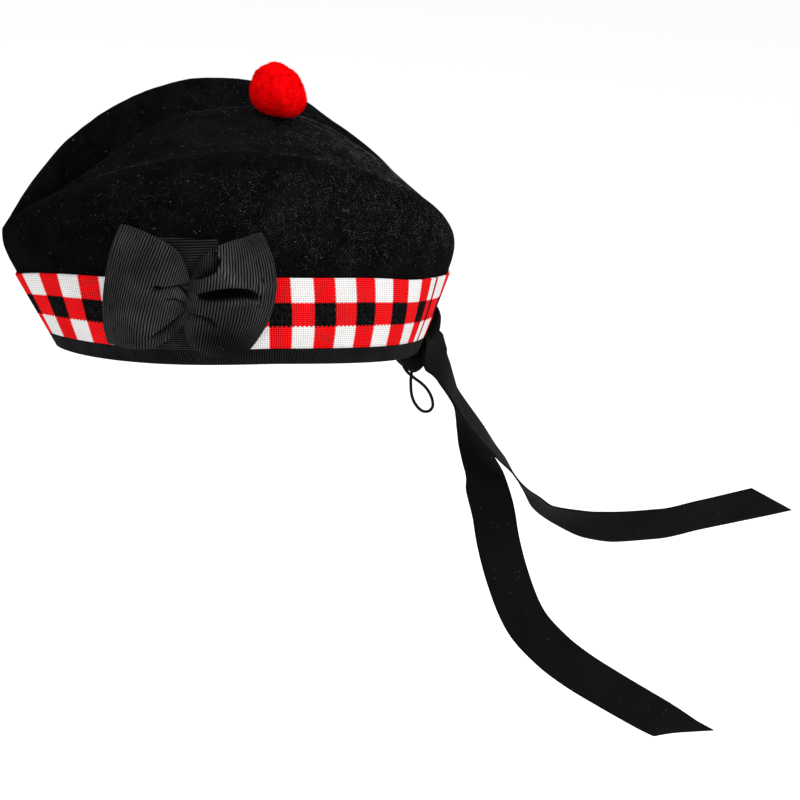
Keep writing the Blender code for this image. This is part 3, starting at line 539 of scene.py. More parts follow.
def makeFeltBody():
    # A section at each share goes up the near wall, across the top and down the far wall; near the ridges its
    # points are averaged with their neighbours, so the folds are round, and then lifted back to the ridges' height.
    # Above the band two noises move it along its normals, less so near the creases.
    look = feltBody
    shares = np.linspace(0, 1, cap["columns"])
    sides = []
    for side in (1, -1):
        grid = wallGrid(shares, side)
        slant = lengthAlong(grid)
        sides.append(alongColumns(grid, slant, slant[-1] * np.linspace(0, 1, cap["wallRows"] + 1)[:, None]))
    top = topGrid(shares)[:, 1:-1].transpose(1, 0, 2)
    section = np.concatenate([sides[0], top, sides[1][::-1]])
    for ridge in (cap["wallRows"], len(section) - 1 - cap["wallRows"]):
        kept = section[ridge].copy()
        reach = np.linalg.norm(section - kept, axis=-1)
        weight = bell(reach, 0, look["ridgeRound"])[1:-1, :, None]
        for _ in range(look["smoothings"]):
            section[1:-1] += weight * 0.5 * ((section[2:] + section[:-2]) / 2 - section[1:-1])
        section += (kept - section[ridge]) * bell(reach, 0, 2 * look["ridgeRound"])[..., None]
    normals = gridNormals(section)
    free = ramp(section[..., 2], look["freeFrom"], look["freeRamp"]) * np.sin(math.pi * shares) ** 0.5
    lift = (look["wobble"] * smoothNoise(section, look["wobbleSize"], look["wobbleSeed"])
            + look["ripple"] * smoothNoise(section, look["rippleSize"], look["rippleSeed"]))
    section += normals * (lift * free)[..., None]
    makeCloth("feltBody", section, makeFeltMaterial(), "black_felt", "crown", cap["felt"], -1.0, welded=True)
    return section, normals


bodySection, bodyNormals = makeFeltBody()
print("felt body made")

feltHairs = {
    "count": 7500, "length": (0.0010, 0.0050), "radius": 0.000017, "curl": 0.07, "lift": 0.04, "seed": 11, "steps": 5,
    "rootLift": 0.00008, "tries": 6, "chance": 3.0, "front": 0.15, "frontEnd": -0.05, "frontRamp": 0.06,
    "bare": 0.12, "bareRise": 0.4, "bareRamp": 0.05, "patch": 0.016, "patchSeed": 8, "bottom": 0.052, "ramp": 0.02,
}


def makeFeltHairs():
    # Roots are drawn over the body's surface above the band: fewer at the front, few on the top and the far side
    # except at the back, and in patches.
    look = feltHairs
    material, tree, shader, coordinates = newMaterial("paleFibre", 0.8)
    shader.inputs["Sheen Weight"].default_value = 0.3
    dark, light = (0.0035, 0.0035, 0.0036), (0.042, 0.041, 0.040)
    setLook(tree, shader, drift(tree, coordinates["Object"], 180.0, 0.0, dark, light, 0.35, 0.65))
    rng = np.random.default_rng(look["seed"])
    rows, columns = bodySection.shape[:2]
    tries = look["count"] * look["tries"]
    i, j = rng.uniform(0, rows - 2, tries), rng.uniform(1, columns - 2, tries)
    a, b = i.astype(int), j.astype(int)
    s, t = (i - a)[:, None], (j - b)[:, None]
    first, above, beside, last = (bodySection[a + m, b + n] for m, n in ((0, 0), (1, 0), (0, 1), (1, 1)))
    roots = first * (1 - s) * (1 - t) + above * s * (1 - t) + beside * (1 - s) * t + last * s * t
    area = np.linalg.norm(np.cross(above - first, beside - first), axis=-1)
    ahead = ramp(roots[:, 1], look["frontEnd"], look["frontRamp"])
    chance = area / area.max() * (look["front"] + (1 - look["front"]) * ahead)
    bare = look["bare"] + look["bareRise"] * ramp(roots[:, 1], 0, look["bareRamp"])
    chance *= np.where(i > cap["wallRows"] - 3, bare, 1)
    chance *= np.clip(0.75 + 0.7 * smoothNoise(roots, look["patch"], look["patchSeed"]), 0.12, 1.6)
    up = roots[:, 2] - look["bottom"]
    chance *= np.clip(up / look["ramp"], 0.15, 1) * (up > 0) * (area > 1e-8)
    kept = np.flatnonzero(rng.uniform(0, 1, tries) < chance * look["chance"])[: look["count"]]
    roots, normals = roots[kept], bodyNormals[a[kept], b[kept]]
    ways = unit(np.cross(normals, rng.normal(size=normals.shape)))
    lengths = rng.uniform(*look["length"], len(kept)) * rng.uniform(0.4, 1.0, len(kept))
    roots = roots + normals * look["rootLift"]
    finishPiece(makeFibres("feltHairs", roots, ways, normals, lengths, look, material), "black_felt")


makeFeltHairs()
print("felt hairs made")

# Diced band

dicing = {
    "near": 24.48, "far": 23.87, "frontShare": 0.54, "seam": 0.838, "threads": (10.0, 11.5), "rows": 3,
    "drift": 0.121, "shear": 1.1, "shearRamp": 0.15, "plumb": 0.36, "crowd": (1.1, 0.45), "crowdFrom": 0.765,
    "cells": 21, "columns": (45, 261, 219),
    "dips": np.array([  # share, metres off the top edge
        (0, 0), (0.30, 0), (0.42, 0.0005), (0.63, 0.0006), (0.67, 0.0009), (0.71, 0.0015), (0.75, 0.0024),
        (0.79, 0.0026), (0.84, 0.0023), (1, 0.0023)]),
}


def makeDicedMaterial():
    # Checks are counted from the threads' coordinates, with a tooth to and fro as the weave's over thread changes:
    # odd columns are white with red in the middle row, even ones are red with black in the middle row. The gaps
    # between the threads are painted darker as shade.
    material, tree, shader, coordinates = newMaterial("dicedWool", 0.95, 0.015)
    place = coordinates["Object"]
    threads = mapping(tree, coordinates["UV"], (*dicing["threads"], 1.0))
    weave = useGroup(tree, weaveGroup, Vector=threads)
    parts = splitVector(tree, threads)
    tooth = times(tree, mathNode(tree, "SUBTRACT", weave["Over"], 0.5), 0.45)
    counts = [mathNode(tree, "DIVIDE", plus(tree, parts[k], tooth), dicing["threads"][k]) for k in (0, 1)]
    column, row = (mathNode(tree, "FLOOR", count) for count in counts)
    oddColumn = mathNode(tree, "FLOORED_MODULO", column, 2.0)
    middleRow = mathNode(tree, "COMPARE", row, 1.0, 0.1)
    isRed = mathNode(tree, "COMPARE", oddColumn, middleRow, 0.1)
    isWhite = times(tree, oddColumn, mathNode(tree, "SUBTRACT", 1.0, middleRow))
    red = mixColors(tree, noise(tree, place, 60.0, 3.0), (0.62, 0.004, 0.006), (0.84, 0.009, 0.011))
    white = mixColors(tree, noise(tree, place, 80.0, 3.0), (0.55, 0.548, 0.54), (0.68, 0.677, 0.67))
    black = drift(tree, place, 900.0, 2.0, (0.0006, 0.0006, 0.0006), (0.0090, 0.0086, 0.0084), 0.4, 0.65)
    color = mixColors(tree, isRed, mixColors(tree, isWhite, black, white), red)
    # Painted shade in the gaps between threads: each colour is multiplied darker there.
    gap = mixColors(tree, isWhite, (0.14, 0.36, 0.36), (0.58, 0.56, 0.56))
    color = mixColors(tree, weave["Gap"], color, mixColors(tree, 1.0, color, gap, "MULTIPLY"))
    height = plus(tree, weave["Height"], times(tree, noise(tree, place, 900.0), 0.5))
    setLook(tree, shader, dusted(tree, place, color, 0.25, 0.04), height, 0.7, 0.00035)
    return material


def makeDicedBand():
    # The band lies a gap off the felt. Its two ends meet at a seam on the near side, and its pattern counts columns
    # both ways from the front crease and rows up the slant. On the near side its columns lean away from a plumb share
    # towards both creases and crowd together before the seam, more so at the rim.
    seam, near, far = dicing["seam"], dicing["near"], dicing["far"]
    rise = np.linspace(0, 1, dicing["cells"] + 1)[:, None]
    low = cap["bindingHeight"] + cap["gap"]
    parts = []
    spans = ((1, seam, 1, -far - near, near), (-1, 1, 0, 0, -far), (1, 0, seam, 0, near))
    for columns, (side, first, last, start, scale) in zip(dicing["columns"], spans):
        shares = np.linspace(first, last, columns)[None, :]
        high = cap["bandTop"] - cap["bandDip"] * np.clip(1 - shares / cap["bandDipShare"], 0, 1) ** 2
        high = high - smoothColumns(dicing["dips"], shares, 1)[0]
        points = onWall(side, shares, low + (high - low) * rise, cap["gap"])
        drifted = shares - dicing["drift"] / near * np.sin(2 * math.pi * shares)
        u = dicing["frontShare"] + start + scale * drifted + 0 * rise
        if first < last < 1:
            crowd = ramp(shares, dicing["crowdFrom"], seam - dicing["crowdFrom"]) ** 1.5
            lean = dicing["shear"] * (dicing["plumb"] - shares) * ramp(shares, 0, dicing["shearRamp"])
            u = u + lean * (1 - rise) + crowd * (dicing["crowd"][0] * (1 - rise) + dicing["crowd"][1] * rise)
        uv = np.stack([u, dicing["rows"] * (rise + 0 * u)], -1)
        parts.append(np.concatenate([points, uv], -1)[:, 1:])
    ring = np.concatenate(parts, axis=1)
    points, uv = ring[..., :3], ring[..., 3:]
    makeCloth("dicedBand", points, makeDicedMaterial(), "diced_wool", "dicing_band", cap["cloth"], 1.0, uv)


makeDicedBand()
print("diced band made")

# Binding

binding = {
    "ribPitch": 0.00140, "length": 0.59, "columns": 261, "straight": 8, "round": 13, "roundFrom": 0.0008,
    "flatness": 0.35,
}


def makeRibbedMaterial(name, dark, light, pitchUp=1.0, bump=0.0004, withPaintedLight=False):
    # Dark and light tones drift over the ribs, the grooves are painted nearly black as shade, and on a piece with
    # painted light its attribute of painted light and shade scales all.
    material, tree, shader, coordinates = newMaterial(name, 0.7, 0.010)
    place = coordinates["Object"]
    ribs = useGroup(tree, ribGroup, Vector=mapping(tree, coordinates["UV"], (1, pitchUp, 1)), Waver=0.5)
    # Painted shade: the grooves between the ribs are mixed to nearly black.
    color = mixColors(tree, ribs["Groove"], drift(tree, place, 70.0, 3.0, dark, light), (0.0006, 0.0006, 0.0007))
    if withPaintedLight:
        # The attribute holds painted light and shade: lighter and darker patches where light and shade fall on the
        # loops.
        own = addNode(tree, "ShaderNodeAttribute", attribute_name="toneAndPaintedLight").outputs["Fac"]
        color = mixColors(tree, 1.0, color, grayOf(tree, own), "MULTIPLY")
    setLook(tree, shader, dusted(tree, place, color, 0.10, 0.15), ribs["Height"], 1.0, bump)
    return material


def makeBinding():
    # Its profile goes up the inside, round under the rim in a flat half oval and up the outside.
    inside, outside = -(cap["felt"] + cap["bindingEase"]), cap["gap"]
    shares = np.linspace(0, 1, binding["columns"])[None, :]
    turn = np.linspace(math.pi, 0, binding["round"])
    straight = np.zeros(binding["straight"])
    oval = np.sign(np.cos(turn)) * np.abs(np.cos(turn)) ** binding["flatness"]
    oval = (inside + outside) / 2 + (outside - inside) / 2 * oval
    down = np.linspace(cap["bindingInside"], binding["roundFrom"], binding["straight"])
    up = np.linspace(binding["roundFrom"], cap["bindingHeight"], binding["straight"])
    out = np.concatenate([straight + inside, oval, straight + outside])[:, None]
    slant = np.concatenate([down, 0 * turn, up])[:, None]
    below = np.concatenate([straight, cap["gap"] * np.sin(turn) ** 0.5, straight])[:, None]
    near, far = (onWall(side, shares, slant, out) for side in (1, -1))
    ring = np.concatenate([near, far[:, -2::-1]], axis=1)
    ring[..., 2] -= below
    u = np.linspace(0, 1, ring.shape[1])[None, :] * binding["length"]
    uv = np.stack(np.broadcast_arrays(u, lengthAlong(ring[:, :1])), -1) / binding["ribPitch"]
    material = makeRibbedMaterial("blackBinding", (0.007, 0.007, 0.0072), (0.016, 0.016, 0.0163))
    makeCloth("bindingTape", ring, material, "black_grosgrain", "edge_binding", cap["cloth"], 1.0, uv, True)


makeBinding()
print("binding made")

# Toorie

toorie = {
    "side": -0.0040, "back": 0.0135, "radius": 0.0157, "press": 0.0020, "seat": 0.0012, "tuft": 0.00045,
    "lumps": ((0.9, 5, 1.0), (0.35, 6, 0.6)), "lean": 0.15, "taper": 0.09, "inset": 0.0003, "float": 0.0003,
}
toorieStrands = {
    "count": 7400, "length": 0.0026, "radius": 0.00009, "curl": 0.25, "lift": 0.10, "seed": 21, "steps": 5,
    "inset": 0.0007, "bottom": -0.8, "stand": (0.05, 0.45),
}


def makeToorie():
    # A ball that widens and leans back downwards and is pressed flat along the plane that fits the felt under it,
    # made lumpy by noise and covered in short fibres that stand out a little.
    material, tree, shader, coordinates = newMaterial("redWool", 1.0, 0.0)
    place = coordinates["Object"]
    color = drift(tree, place, 260.0, 3.0, (0.52, 0.0004, 0.0008), (0.70, 0.0012, 0.0024), roughness=0.6)
    setLook(tree, shader, color, noise(tree, place, 1100.0, 4.0, 0.7), 0.8, 0.0004)
    felt = bodySection[cap["wallRows"] + 1:-cap["wallRows"] - 1].reshape(-1, 3) - (toorie["side"], toorie["back"], 0)
    felt = felt[np.hypot(felt[:, 0], felt[:, 1]) < 0.8 * toorie["radius"]]
    slope = np.linalg.lstsq(np.column_stack([felt[:, :2], np.ones(len(felt))]), felt[:, 2], rcond=None)[0]
    bottom = slope[2] + (felt[:, 2] - felt[:, :2] @ slope[:2] - slope[2]).max() + toorie["float"]

    def onBall(way, inset):
        lumps = sum(share * smoothNoise(way, size, seed) for size, seed, share in toorie["lumps"])
        points = way * (toorie["radius"] - inset + toorie["tuft"] * lumps)[:, None]
        points[:, :2] *= 1 - toorie["taper"] * np.sin(way[:, 2:] * 2)
        points[:, 1] -= toorie["lean"] * points[:, 2]
        plane = points[:, :2] @ slope[:2]
        height = points[:, 2] + toorie["radius"] - toorie["press"] - plane
        points[:, 2] = plane + toorie["seat"] * np.log1p(np.exp(height / toorie["seat"]))
        return points + np.array([toorie["side"], toorie["back"], bottom])

    work = bmesh.new()
    bmesh.ops.create_icosphere(work, subdivisions=5, radius=1.0)
    mesh = bpy.data.meshes.new("toorieBall")
    work.to_mesh(mesh)
    work.free()
    ways = np.empty(len(mesh.vertices) * 3)
    mesh.vertices.foreach_get("co", ways)
    mesh.vertices.foreach_set("co", onBall(ways.reshape(-1, 3), toorie["inset"]).ravel())
    mesh.materials.append(material)
    mesh.shade_smooth()
    ball = placeObject("toorieBall", mesh)
    finishPiece(ball, "red_wool", "toorie")
    look = toorieStrands
    rng = np.random.default_rng(look["seed"])
    normals = unit(rng.normal(size=(look["count"], 3)))
    normals = normals[normals[:, 2] > look["bottom"]]
    lean = unit(np.cross(normals, rng.normal(size=normals.shape)))
    ways = unit(lean + normals * rng.uniform(*look["stand"], len(normals))[:, None])
    lengths = rng.uniform(0.4, 1.0, len(normals)) * look["length"]
    roots = onBall(normals, look["inset"])
    finishPiece(makeFibres("toorieStrands", roots, ways, normals, lengths, look, material), "red_wool")


makeToorie()
print("toorie made")

# Cockade

cockade = {
    "share": 0.350, "halfLength": 0.0455, "low": 0.0105, "height": 0.0650, "ribbon": 0.0008, "fold": 0.0050,
    "puff": 0.0046, "ribPitch": 0.00140, "slack": 0.0007, "stack": 2.4, "gather": 0.00035, "gatherTurns": 31,
    # The shade keys set the painted shade of deep folds, and the last range limits the painted light and shade.
    "gatherTo": 0.45, "dimple": 0.0013, "shadeFrom": 0.0012, "shadeReach": 0.0022, "paintedLightRange": (0.02, 2.5),
    "pinch": 0.03, "pinchUp": 0.45, "roll": 75, "frontRows": 139, "backRows": 25, "rollRows": 13, "across": 132,
    "tilt": 0.035, "tiltFrom": 0.4, "backingCells": 39,
    "backing": np.array([  # up, front edge, back edge
        (-0.02, -0.66, 0.58), (0.10, -0.60, 0.50), (0.50, -0.48, 0.40), (0.94, -0.41, 0.28)]),
}
# Places are shares of the half length along and of the height up. Dimples are places. The painted light and shade
# Gaussians are a place, its reach along and up and an amount. Edges are a place from the middle to the fold, then the
# low and the high edge's place.
# Folds are a line's places, a sink and a reach in metres and a kind: a step sinks the side right of the line, a lens
# both sides of it.
loops = {
    "loopFront": {
        "node": "cockade_loop_front", "bow": 0.065, "bowPower": 2.6,
        "dimples": ((-0.97, 0.21), (-0.95, 0.39), (-0.77, 0.82), (-0.42, 0.90), (-0.57, 0.94)),
        # Painted light and shade: Gaussians that lighten or darken this loop.
        "paintedLights": (
            (-0.25, 0.18, 0.16, 0.12, -0.35), (-0.16, 0.50, 0.10, 0.06, 0.25), (-0.75, 0.30, 0.35, 0.30, 0.08)),
        "edges": np.array([
            (0.00, -0.15, 0.24, -0.01, 0.58), (0.13, -0.27, 0.16, -0.06, 0.68), (0.27, -0.44, 0.085, -0.11, 0.78),
            (0.38, -0.57, 0.045, -0.17, 0.85), (0.58, -0.82, 0.035, -0.35, 0.935), (0.79, -1.00, 0.05, -0.56, 1.00),
            (1.00, -1.16, 0.065, -0.77, 1.04)]),
        "folds": (
            (((-0.47, 0.585), (-0.36, 0.580), (-0.20, 0.590), (0.02, 0.600)), 0.0036, 0.0022, "step"),
            (((-0.43, 0.575), (-0.33, 0.570)), 0.0042, 0.0016, "lens"),
            (((-0.56, 0.150), (-0.37, 0.240), (-0.12, 0.365)), 0.0060, 0.0026, "step"),
            (((-0.30, 0.475), (-0.20, 0.485), (-0.12, 0.450), (-0.02, 0.370)), 0.0030, 0.0018, "step"),
            (((-0.33, 0.43), (-0.22, 0.445), (-0.12, 0.40)), -0.0012, 0.0020, "lens"),
            (((-1.02, 0.30), (-0.96, 0.36), (-0.90, 0.33)), 0.0009, 0.0020, "lens"),
            (((-0.80, 0.70), (-0.60, 0.55), (-0.45, 0.36)), 0.0007, 0.0070, "lens"),
            (((-0.18, 0.590), (-0.10, 0.530), (-0.02, 0.465)), 0.0040, 0.0010, "lens")),
    },
    "loopBack": {
        "node": "cockade_loop_back", "bow": 0.235, "bowPower": 2.0,
        "dimples": ((0.68, 0.73), (0.75, 0.59), (0.62, 0.89)),
        # Painted light and shade: Gaussians that darken the downward lower sheet and lighten the fold edges of this
        # loop.
        "paintedLights": (
            (0.30, 0.12, 0.36, 0.24, -0.85), (0.40, 0.425, 0.28, 0.03, 0.40), (0.52, 0.02, 0.22, 0.14, -0.45),
            (0.06, 0.76, 0.15, 0.14, -0.55), (0.31, 0.70, 0.08, 0.12, 0.55), (0.25, 0.60, 0.20, 0.06, 0.35),
            (0.68, 0.48, 0.06, 0.14, 0.55), (0.45, 0.60, 0.22, 0.14, 0.20)),
        "edges": np.array([
            (0.00, -0.14, 0.30, -0.03, 0.62), (0.13, -0.125, 0.17, 0.03, 0.71), (0.27, -0.07, 0.08, 0.12, 0.795),
            (0.40, 0.05, 0.015, 0.24, 0.86), (0.58, 0.22, -0.02, 0.42, 0.905), (0.79, 0.43, -0.02, 0.60, 0.93),
            (1.00, 0.61, 0.03, 0.76, 0.96)]),
        "folds": (
            (((0.04, 0.488), (0.20, 0.494), (0.42, 0.503), (0.58, 0.494), (0.72, 0.458)), 0.0085, 0.0036, "lens"),
            (((0.29, 0.90), (0.255, 0.84), (0.30, 0.76), (0.26, 0.675), (0.14, 0.635), (-0.02, 0.610)),
             0.0048, 0.0060, "step"),
            (((-0.06, 0.365), (0.10, 0.350), (0.18, 0.320), (0.26, 0.270)), 0.0048, 0.0024, "step"),
            (((0.06, 0.455), (0.30, 0.450), (0.60, 0.415), (0.74, 0.44)), -0.0012, 0.0016, "lens"),
            (((0.73, 0.38), (0.745, 0.48), (0.725, 0.59)), -0.0014, 0.0020, "lens"),
            (((-0.10, 0.55), (-0.03, 0.50), (0.05, 0.485)), -0.0014, 0.0014, "lens"),
            (((0.30, 0.24), (0.45, 0.18), (0.62, 0.16)), 0.0012, 0.0060, "lens"),
            (((0.33, 0.72), (0.40, 0.62), (0.44, 0.56)), -0.0008, 0.0030, "lens"),
            (((-0.18, 0.590), (-0.10, 0.530), (-0.02, 0.465)), 0.0040, 0.0010, "lens")),
    },
}
cockadeSize = np.array([cockade["halfLength"], cockade["height"]])


def cockadePoints(along, up, out):
    # Shares of the cockade's half length and height, laid on the near wall, a distance out of it.
    width, depth = halfOutline("bandTop", np.linspace(0, 1, 200))[:2]
    halfRound = np.hypot(np.diff(width), np.diff(depth)).sum()
    return onWall(1, cockade["share"] + along * cockadeSize[0] / halfRound, cockade["low"] + up * cockadeSize[1], out)


def makeBacking(material):
    # A flat patch whose upper and lower edges rise towards the front, more so higher up.
    rows = cockade["backing"]
    up = np.linspace(rows[0, 0], rows[-1, 0], cockade["backingCells"] + 1)[:, None]
    front, back = (np.interp(up, rows[:, 0], rows[:, k]) for k in (1, 2))
    share = np.linspace(0, 1, cockade["backingCells"] + 1)
    along, up = front + (back - front) * share, up - cockade["tilt"] * up * (share - cockade["tiltFrom"])
    grid = cockadePoints(along, up, cap["cloth"] + 2 * cap["gap"] + 0 * along)
    uv = np.stack([up * cockadeSize[1], along * cockadeSize[0]], -1) / cockade["ribPitch"]
    makeCloth("cockadeBacking", grid, material, "black_grosgrain", "cockade_backing", cockade["ribbon"], 1.0, uv)


def foldDepth(fold, along, up):
    # Metres to the nearest point of the line: a step sinks by sink * exp(-distance / reach) on one side only, a lens
    # by sink * (1 - (distance / reach) ** 4); both fade to the line's ends.
    line, sink, reach, kind = fold
    line, points = np.array(line) * cockadeSize, np.stack([along, up], -1) * cockadeSize
    run = lengthAlong(line)
    nearest, share, side = np.full(along.shape, np.inf), np.zeros(along.shape), np.ones(along.shape)
    for k in range(len(line) - 1):
        way, offset = line[k + 1] - line[k], points - line[k]
        at = np.clip(offset @ way / (way @ way), 0, 1)
        distance = np.linalg.norm(offset - at[..., None] * way, axis=-1)
        closer = distance < nearest
        nearest = np.where(closer, distance, nearest)
        share = np.where(closer, (run[k] + at * (run[k + 1] - run[k])) / run[-1], share)
        side = np.where(closer, offset[..., 0] * way[1] - offset[..., 1] * way[0], side)
    fade = np.sin(math.pi * np.clip(share, 0.0, 1.0)) ** 0.45
    if kind == "lens":
        return sink * fade * np.clip(1 - (nearest / (reach * (0.35 + 0.65 * fade))) ** 4, 0, 1)
    return sink * fade * np.where(side > 0, np.exp(-nearest / reach), 0)


def makeLoop(name, material):
    # A back sheet out to the fold, a half round over it, and a puffed front sheet back to the gathered middle. Folds
    # sink or raise the front sheet and paint shade on it where they are deep, dimples sink it, and Gaussians of
    # painted light and shade make it lighter where light falls and darker where shade falls.
    row = loops[name]
    way = math.copysign(1, row["edges"][-1, 1])
    across = np.linspace(0, 1, cockade["across"] + 1)[None, :]
    lying = cap["cloth"] + cockade["ribbon"] + 3 * cap["gap"] + cockade["slack"]
    stack, wide = cockade["stack"] * cockade["ribbon"], cockade["fold"] / cockadeSize[0]

    def sheetPoints(place):
        lowAlong, lowUp, highAlong, highUp = smoothColumns(row["edges"], place, 1, 2, 3, 4)
        bow = way * (row["bow"] * (1 - np.abs(2 * across - 1) ** row["bowPower"]) - wide / 2) * place**2
        return lowAlong + (highAlong - lowAlong) * across + bow, lowUp + (highUp - lowUp) * across

    front = (np.linspace(0, 1, cockade["frontRows"]) ** 1.1)[::-1, None]
    alongFront, upFront = sheetPoints(front)
    puff = np.sin(math.pi * front**0.8) * np.sin(math.pi * (0.06 + 0.88 * across)) ** 0.6
    gathers = np.sin(across * cockade["gatherTurns"]) * np.clip(1 - front / cockade["gatherTo"], 0, 1)
    lift = stack + (cockade["fold"] - stack) * front + cockade["puff"] * puff + cockade["gather"] * gathers
    # Painted shade: the colour is darkened where the folds sink deep.
    shade = 0 * lift + 1
    for fold in row["folds"]:
        depth = foldDepth(fold, alongFront, upFront)
        depth = depth * ramp(front, 0, 0.06) * ramp(-front, -1.02, 0.1)
        lift = lift - depth
        shade = shade * np.exp(-np.clip(depth - cockade["shadeFrom"], 0, 1) / cockade["shadeReach"])
    for along, up in row["dimples"]:
        away = np.hypot((alongFront - along) * cockadeSize[0], (upFront - up) * cockadeSize[1])
        lift = lift - cockade["dimple"] * bell(away, 0, cockade["dimple"])
    lift = np.maximum(lift, stack + 0.0002 * front)
    back = np.linspace(0, 1, cockade["backRows"])[:, None]
    alongBack, upBack = sheetPoints(back)
    upBack = cockade["pinchUp"] + (upBack - cockade["pinchUp"]) * (1 - cockade["pinch"] * np.sin(math.pi * back))
    turn = np.radians(np.linspace(-cockade["roll"], cockade["roll"], cockade["rollRows"]))[:, None]
    alongEnd, upEnd = sheetPoints(np.ones((1, 1)))
    along = np.concatenate([alongBack, alongEnd + way * wide / 2 * np.cos(turn), alongFront])
    up = np.concatenate([upBack, upEnd + 0 * turn, upFront])
    out = [0 * alongBack, cockade["fold"] / 2 * (1 + np.sin(turn)) + 0 * across, lift]
    grid = cockadePoints(along, up, lying + np.concatenate(out))
    run = np.concatenate([back, 1 + 0.05 * (turn + 1.3), 2.2 - front]) + 0 * across
    uv = np.stack([run * cockadeSize[0] * 1.05, across * cockadeSize[1] + 0 * run], -1) / cockade["ribPitch"]
    toneAndPaintedLight = np.concatenate([np.ones((len(along) - len(shade), shade.shape[1])), shade])
    # Painted light and shade: Gaussians lighten or darken the colour where light or shade falls.
    for paintedLightAlong, paintedLightUp, reachAlong, reachUp, amount in row["paintedLights"]:
        toneAndPaintedLight = toneAndPaintedLight * (1 + amount * bell(along, paintedLightAlong, reachAlong) * bell(up, paintedLightUp, reachUp))
    if way < 0:
        grid, uv, toneAndPaintedLight = grid[:, ::-1], uv[:, ::-1], toneAndPaintedLight[:, ::-1]
    item = makeCloth(name, grid, material, "black_grosgrain", row["node"], cockade["ribbon"], 0.0, uv)
    # The attribute carries the painted light and shade to the material.
    attribute = item.data.attributes.new("toneAndPaintedLight", "FLOAT", "POINT")
    attribute.data.foreach_set("value", np.clip(toneAndPaintedLight, *cockade["paintedLightRange"]).ravel())


def makeCockade():
    makeBacking(makeRibbedMaterial("backingGrosgrain", (0.010, 0.010, 0.0102), (0.024, 0.024, 0.0244), 0.6))
    # The loops' material is scaled by their painted light and shade.
    grosgrain = ("blackGrosgrain", (0.021, 0.021, 0.0214), (0.044, 0.044, 0.0448), 0.6, 0.0006, True)
    material = makeRibbedMaterial(*grosgrain)
    for name in loops:
        makeLoop(name, material)


makeCockade()
print("cockade made")

# Knot, tails and drawstring

knot = {
    "halfWidth": 0.0115, "height": 0.0250, "thickness": 0.0085, "drop": 0.0172, "rings": 70, "sides": 96,
    "oval": 0.8, "groove": 0.05, "grooveTurns": 4.5, "grooveStart": 0.6, "ribPitch": 0.0008, "ribs": 60,
    "wall": np.array([  # up, out, width
        (1.00, 0.14, 0.70), (0.92, 0.46, 0.90), (0.76, 0.84, 1.00), (0.55, 1.10, 1.00), (0.30, 0.98, 0.94),
        (0.07, 0.52, 0.78)]),
    "under": np.array([  # inner line back and down, outer line back and down, width
        (0.15, 0.03, 0.50, 0.55, 0.74), (0.09, 0.04, 0.36, 0.88, 0.74), (-0.06, 0.04, 0.11, 1.00, 0.76),
        (-0.25, 0.04, -0.31, 0.78, 0.74), (-0.37, 0.08, -0.46, 0.62, 0.65)]),
}


def makeRibbonMaterial():
    # A dark tone that drifts slowly, with fine ribs as bumps.
    material, tree, shader, coordinates = newMaterial("satinRibbon", 0.7, 0.02)
    place = coordinates["Object"]
    ribs = useGroup(tree, ribGroup, Vector=coordinates["UV"], Waver=0.2)
    toneAndPaintedLight = drift(tree, place, 35.0, 2.0, (0.0022, 0.0022, 0.0024), (0.0034, 0.0034, 0.0036))
    setLook(tree, shader, dusted(tree, place, toneAndPaintedLight, 0.15, 0.08), ribs["Height"], 0.4, 0.00012)
    return material


def makeKnot(material):
    # Rings of a flattened oval pass down the wall and under the rim; shallow grooves along them are the ribbon's
    # folds.
    seat, wall, under = cap["cloth"] + 2 * cap["gap"], knot["wall"], knot["under"]
    slant, share = wall[:, 0] * knot["height"], np.ones(len(wall))
    rimEnd = np.array([0, cap["rimBack"], cap["cloth"] + cap["gap"] - cap["rimBackDip"] - seat])
    index = np.arange(len(wall) + len(under))
    at = np.linspace(0, len(index) - 1, knot["rings"])
    lines = []
    for out, back in ((share * seat, 0), (seat + wall[:, 1] * knot["thickness"], 2)):
        below = np.stack([0 * under[:, 0], under[:, back], -under[:, back + 1]], -1) * knot["drop"]
        line = np.concatenate([onWall(1, share, slant, out), rimEnd + below])
        lines.append(np.stack([smoothCurve(index, line[:, axis], at) for axis in range(3)], -1))
    middle, reach = (lines[0] + lines[1]) / 2, (lines[1] - lines[0]) / 2
    width = smoothCurve(index, knot["halfWidth"] * np.concatenate([wall[:, 2], under[:, 4]]), at)
    turn = np.linspace(0, -2 * math.pi, knot["sides"], endpoint=False)
    side, depth = (np.sign(f(turn)) * np.abs(f(turn)) ** knot["oval"] for f in (np.cos, np.sin))
    groove = 1 - knot["groove"] * np.abs(np.sin(turn * knot["grooveTurns"] + knot["grooveStart"])) ** 0.5
    rings = middle[:, None] + reach[:, None] * (depth * groove)[:, None]
    rings[..., 0] += width[:, None] * side * groove
    rows, sides = rings.shape[:2]
    run = lengthAlong(middle[:, None]) / knot["ribPitch"]
    uv = np.stack(np.broadcast_arrays(run, (np.arange(sides) / sides * knot["ribs"])[None, :]), -1)
    ends = [list(range(sides))[::-1], list(range((rows - 1) * sides, rows * sides))]
    item = newMesh("ribbonKnot", rings, gridFaces(rows, sides, True).tolist() + ends, material, uv)
    finishPiece(item, "black_satin_ribbon", "ribbon_knot")


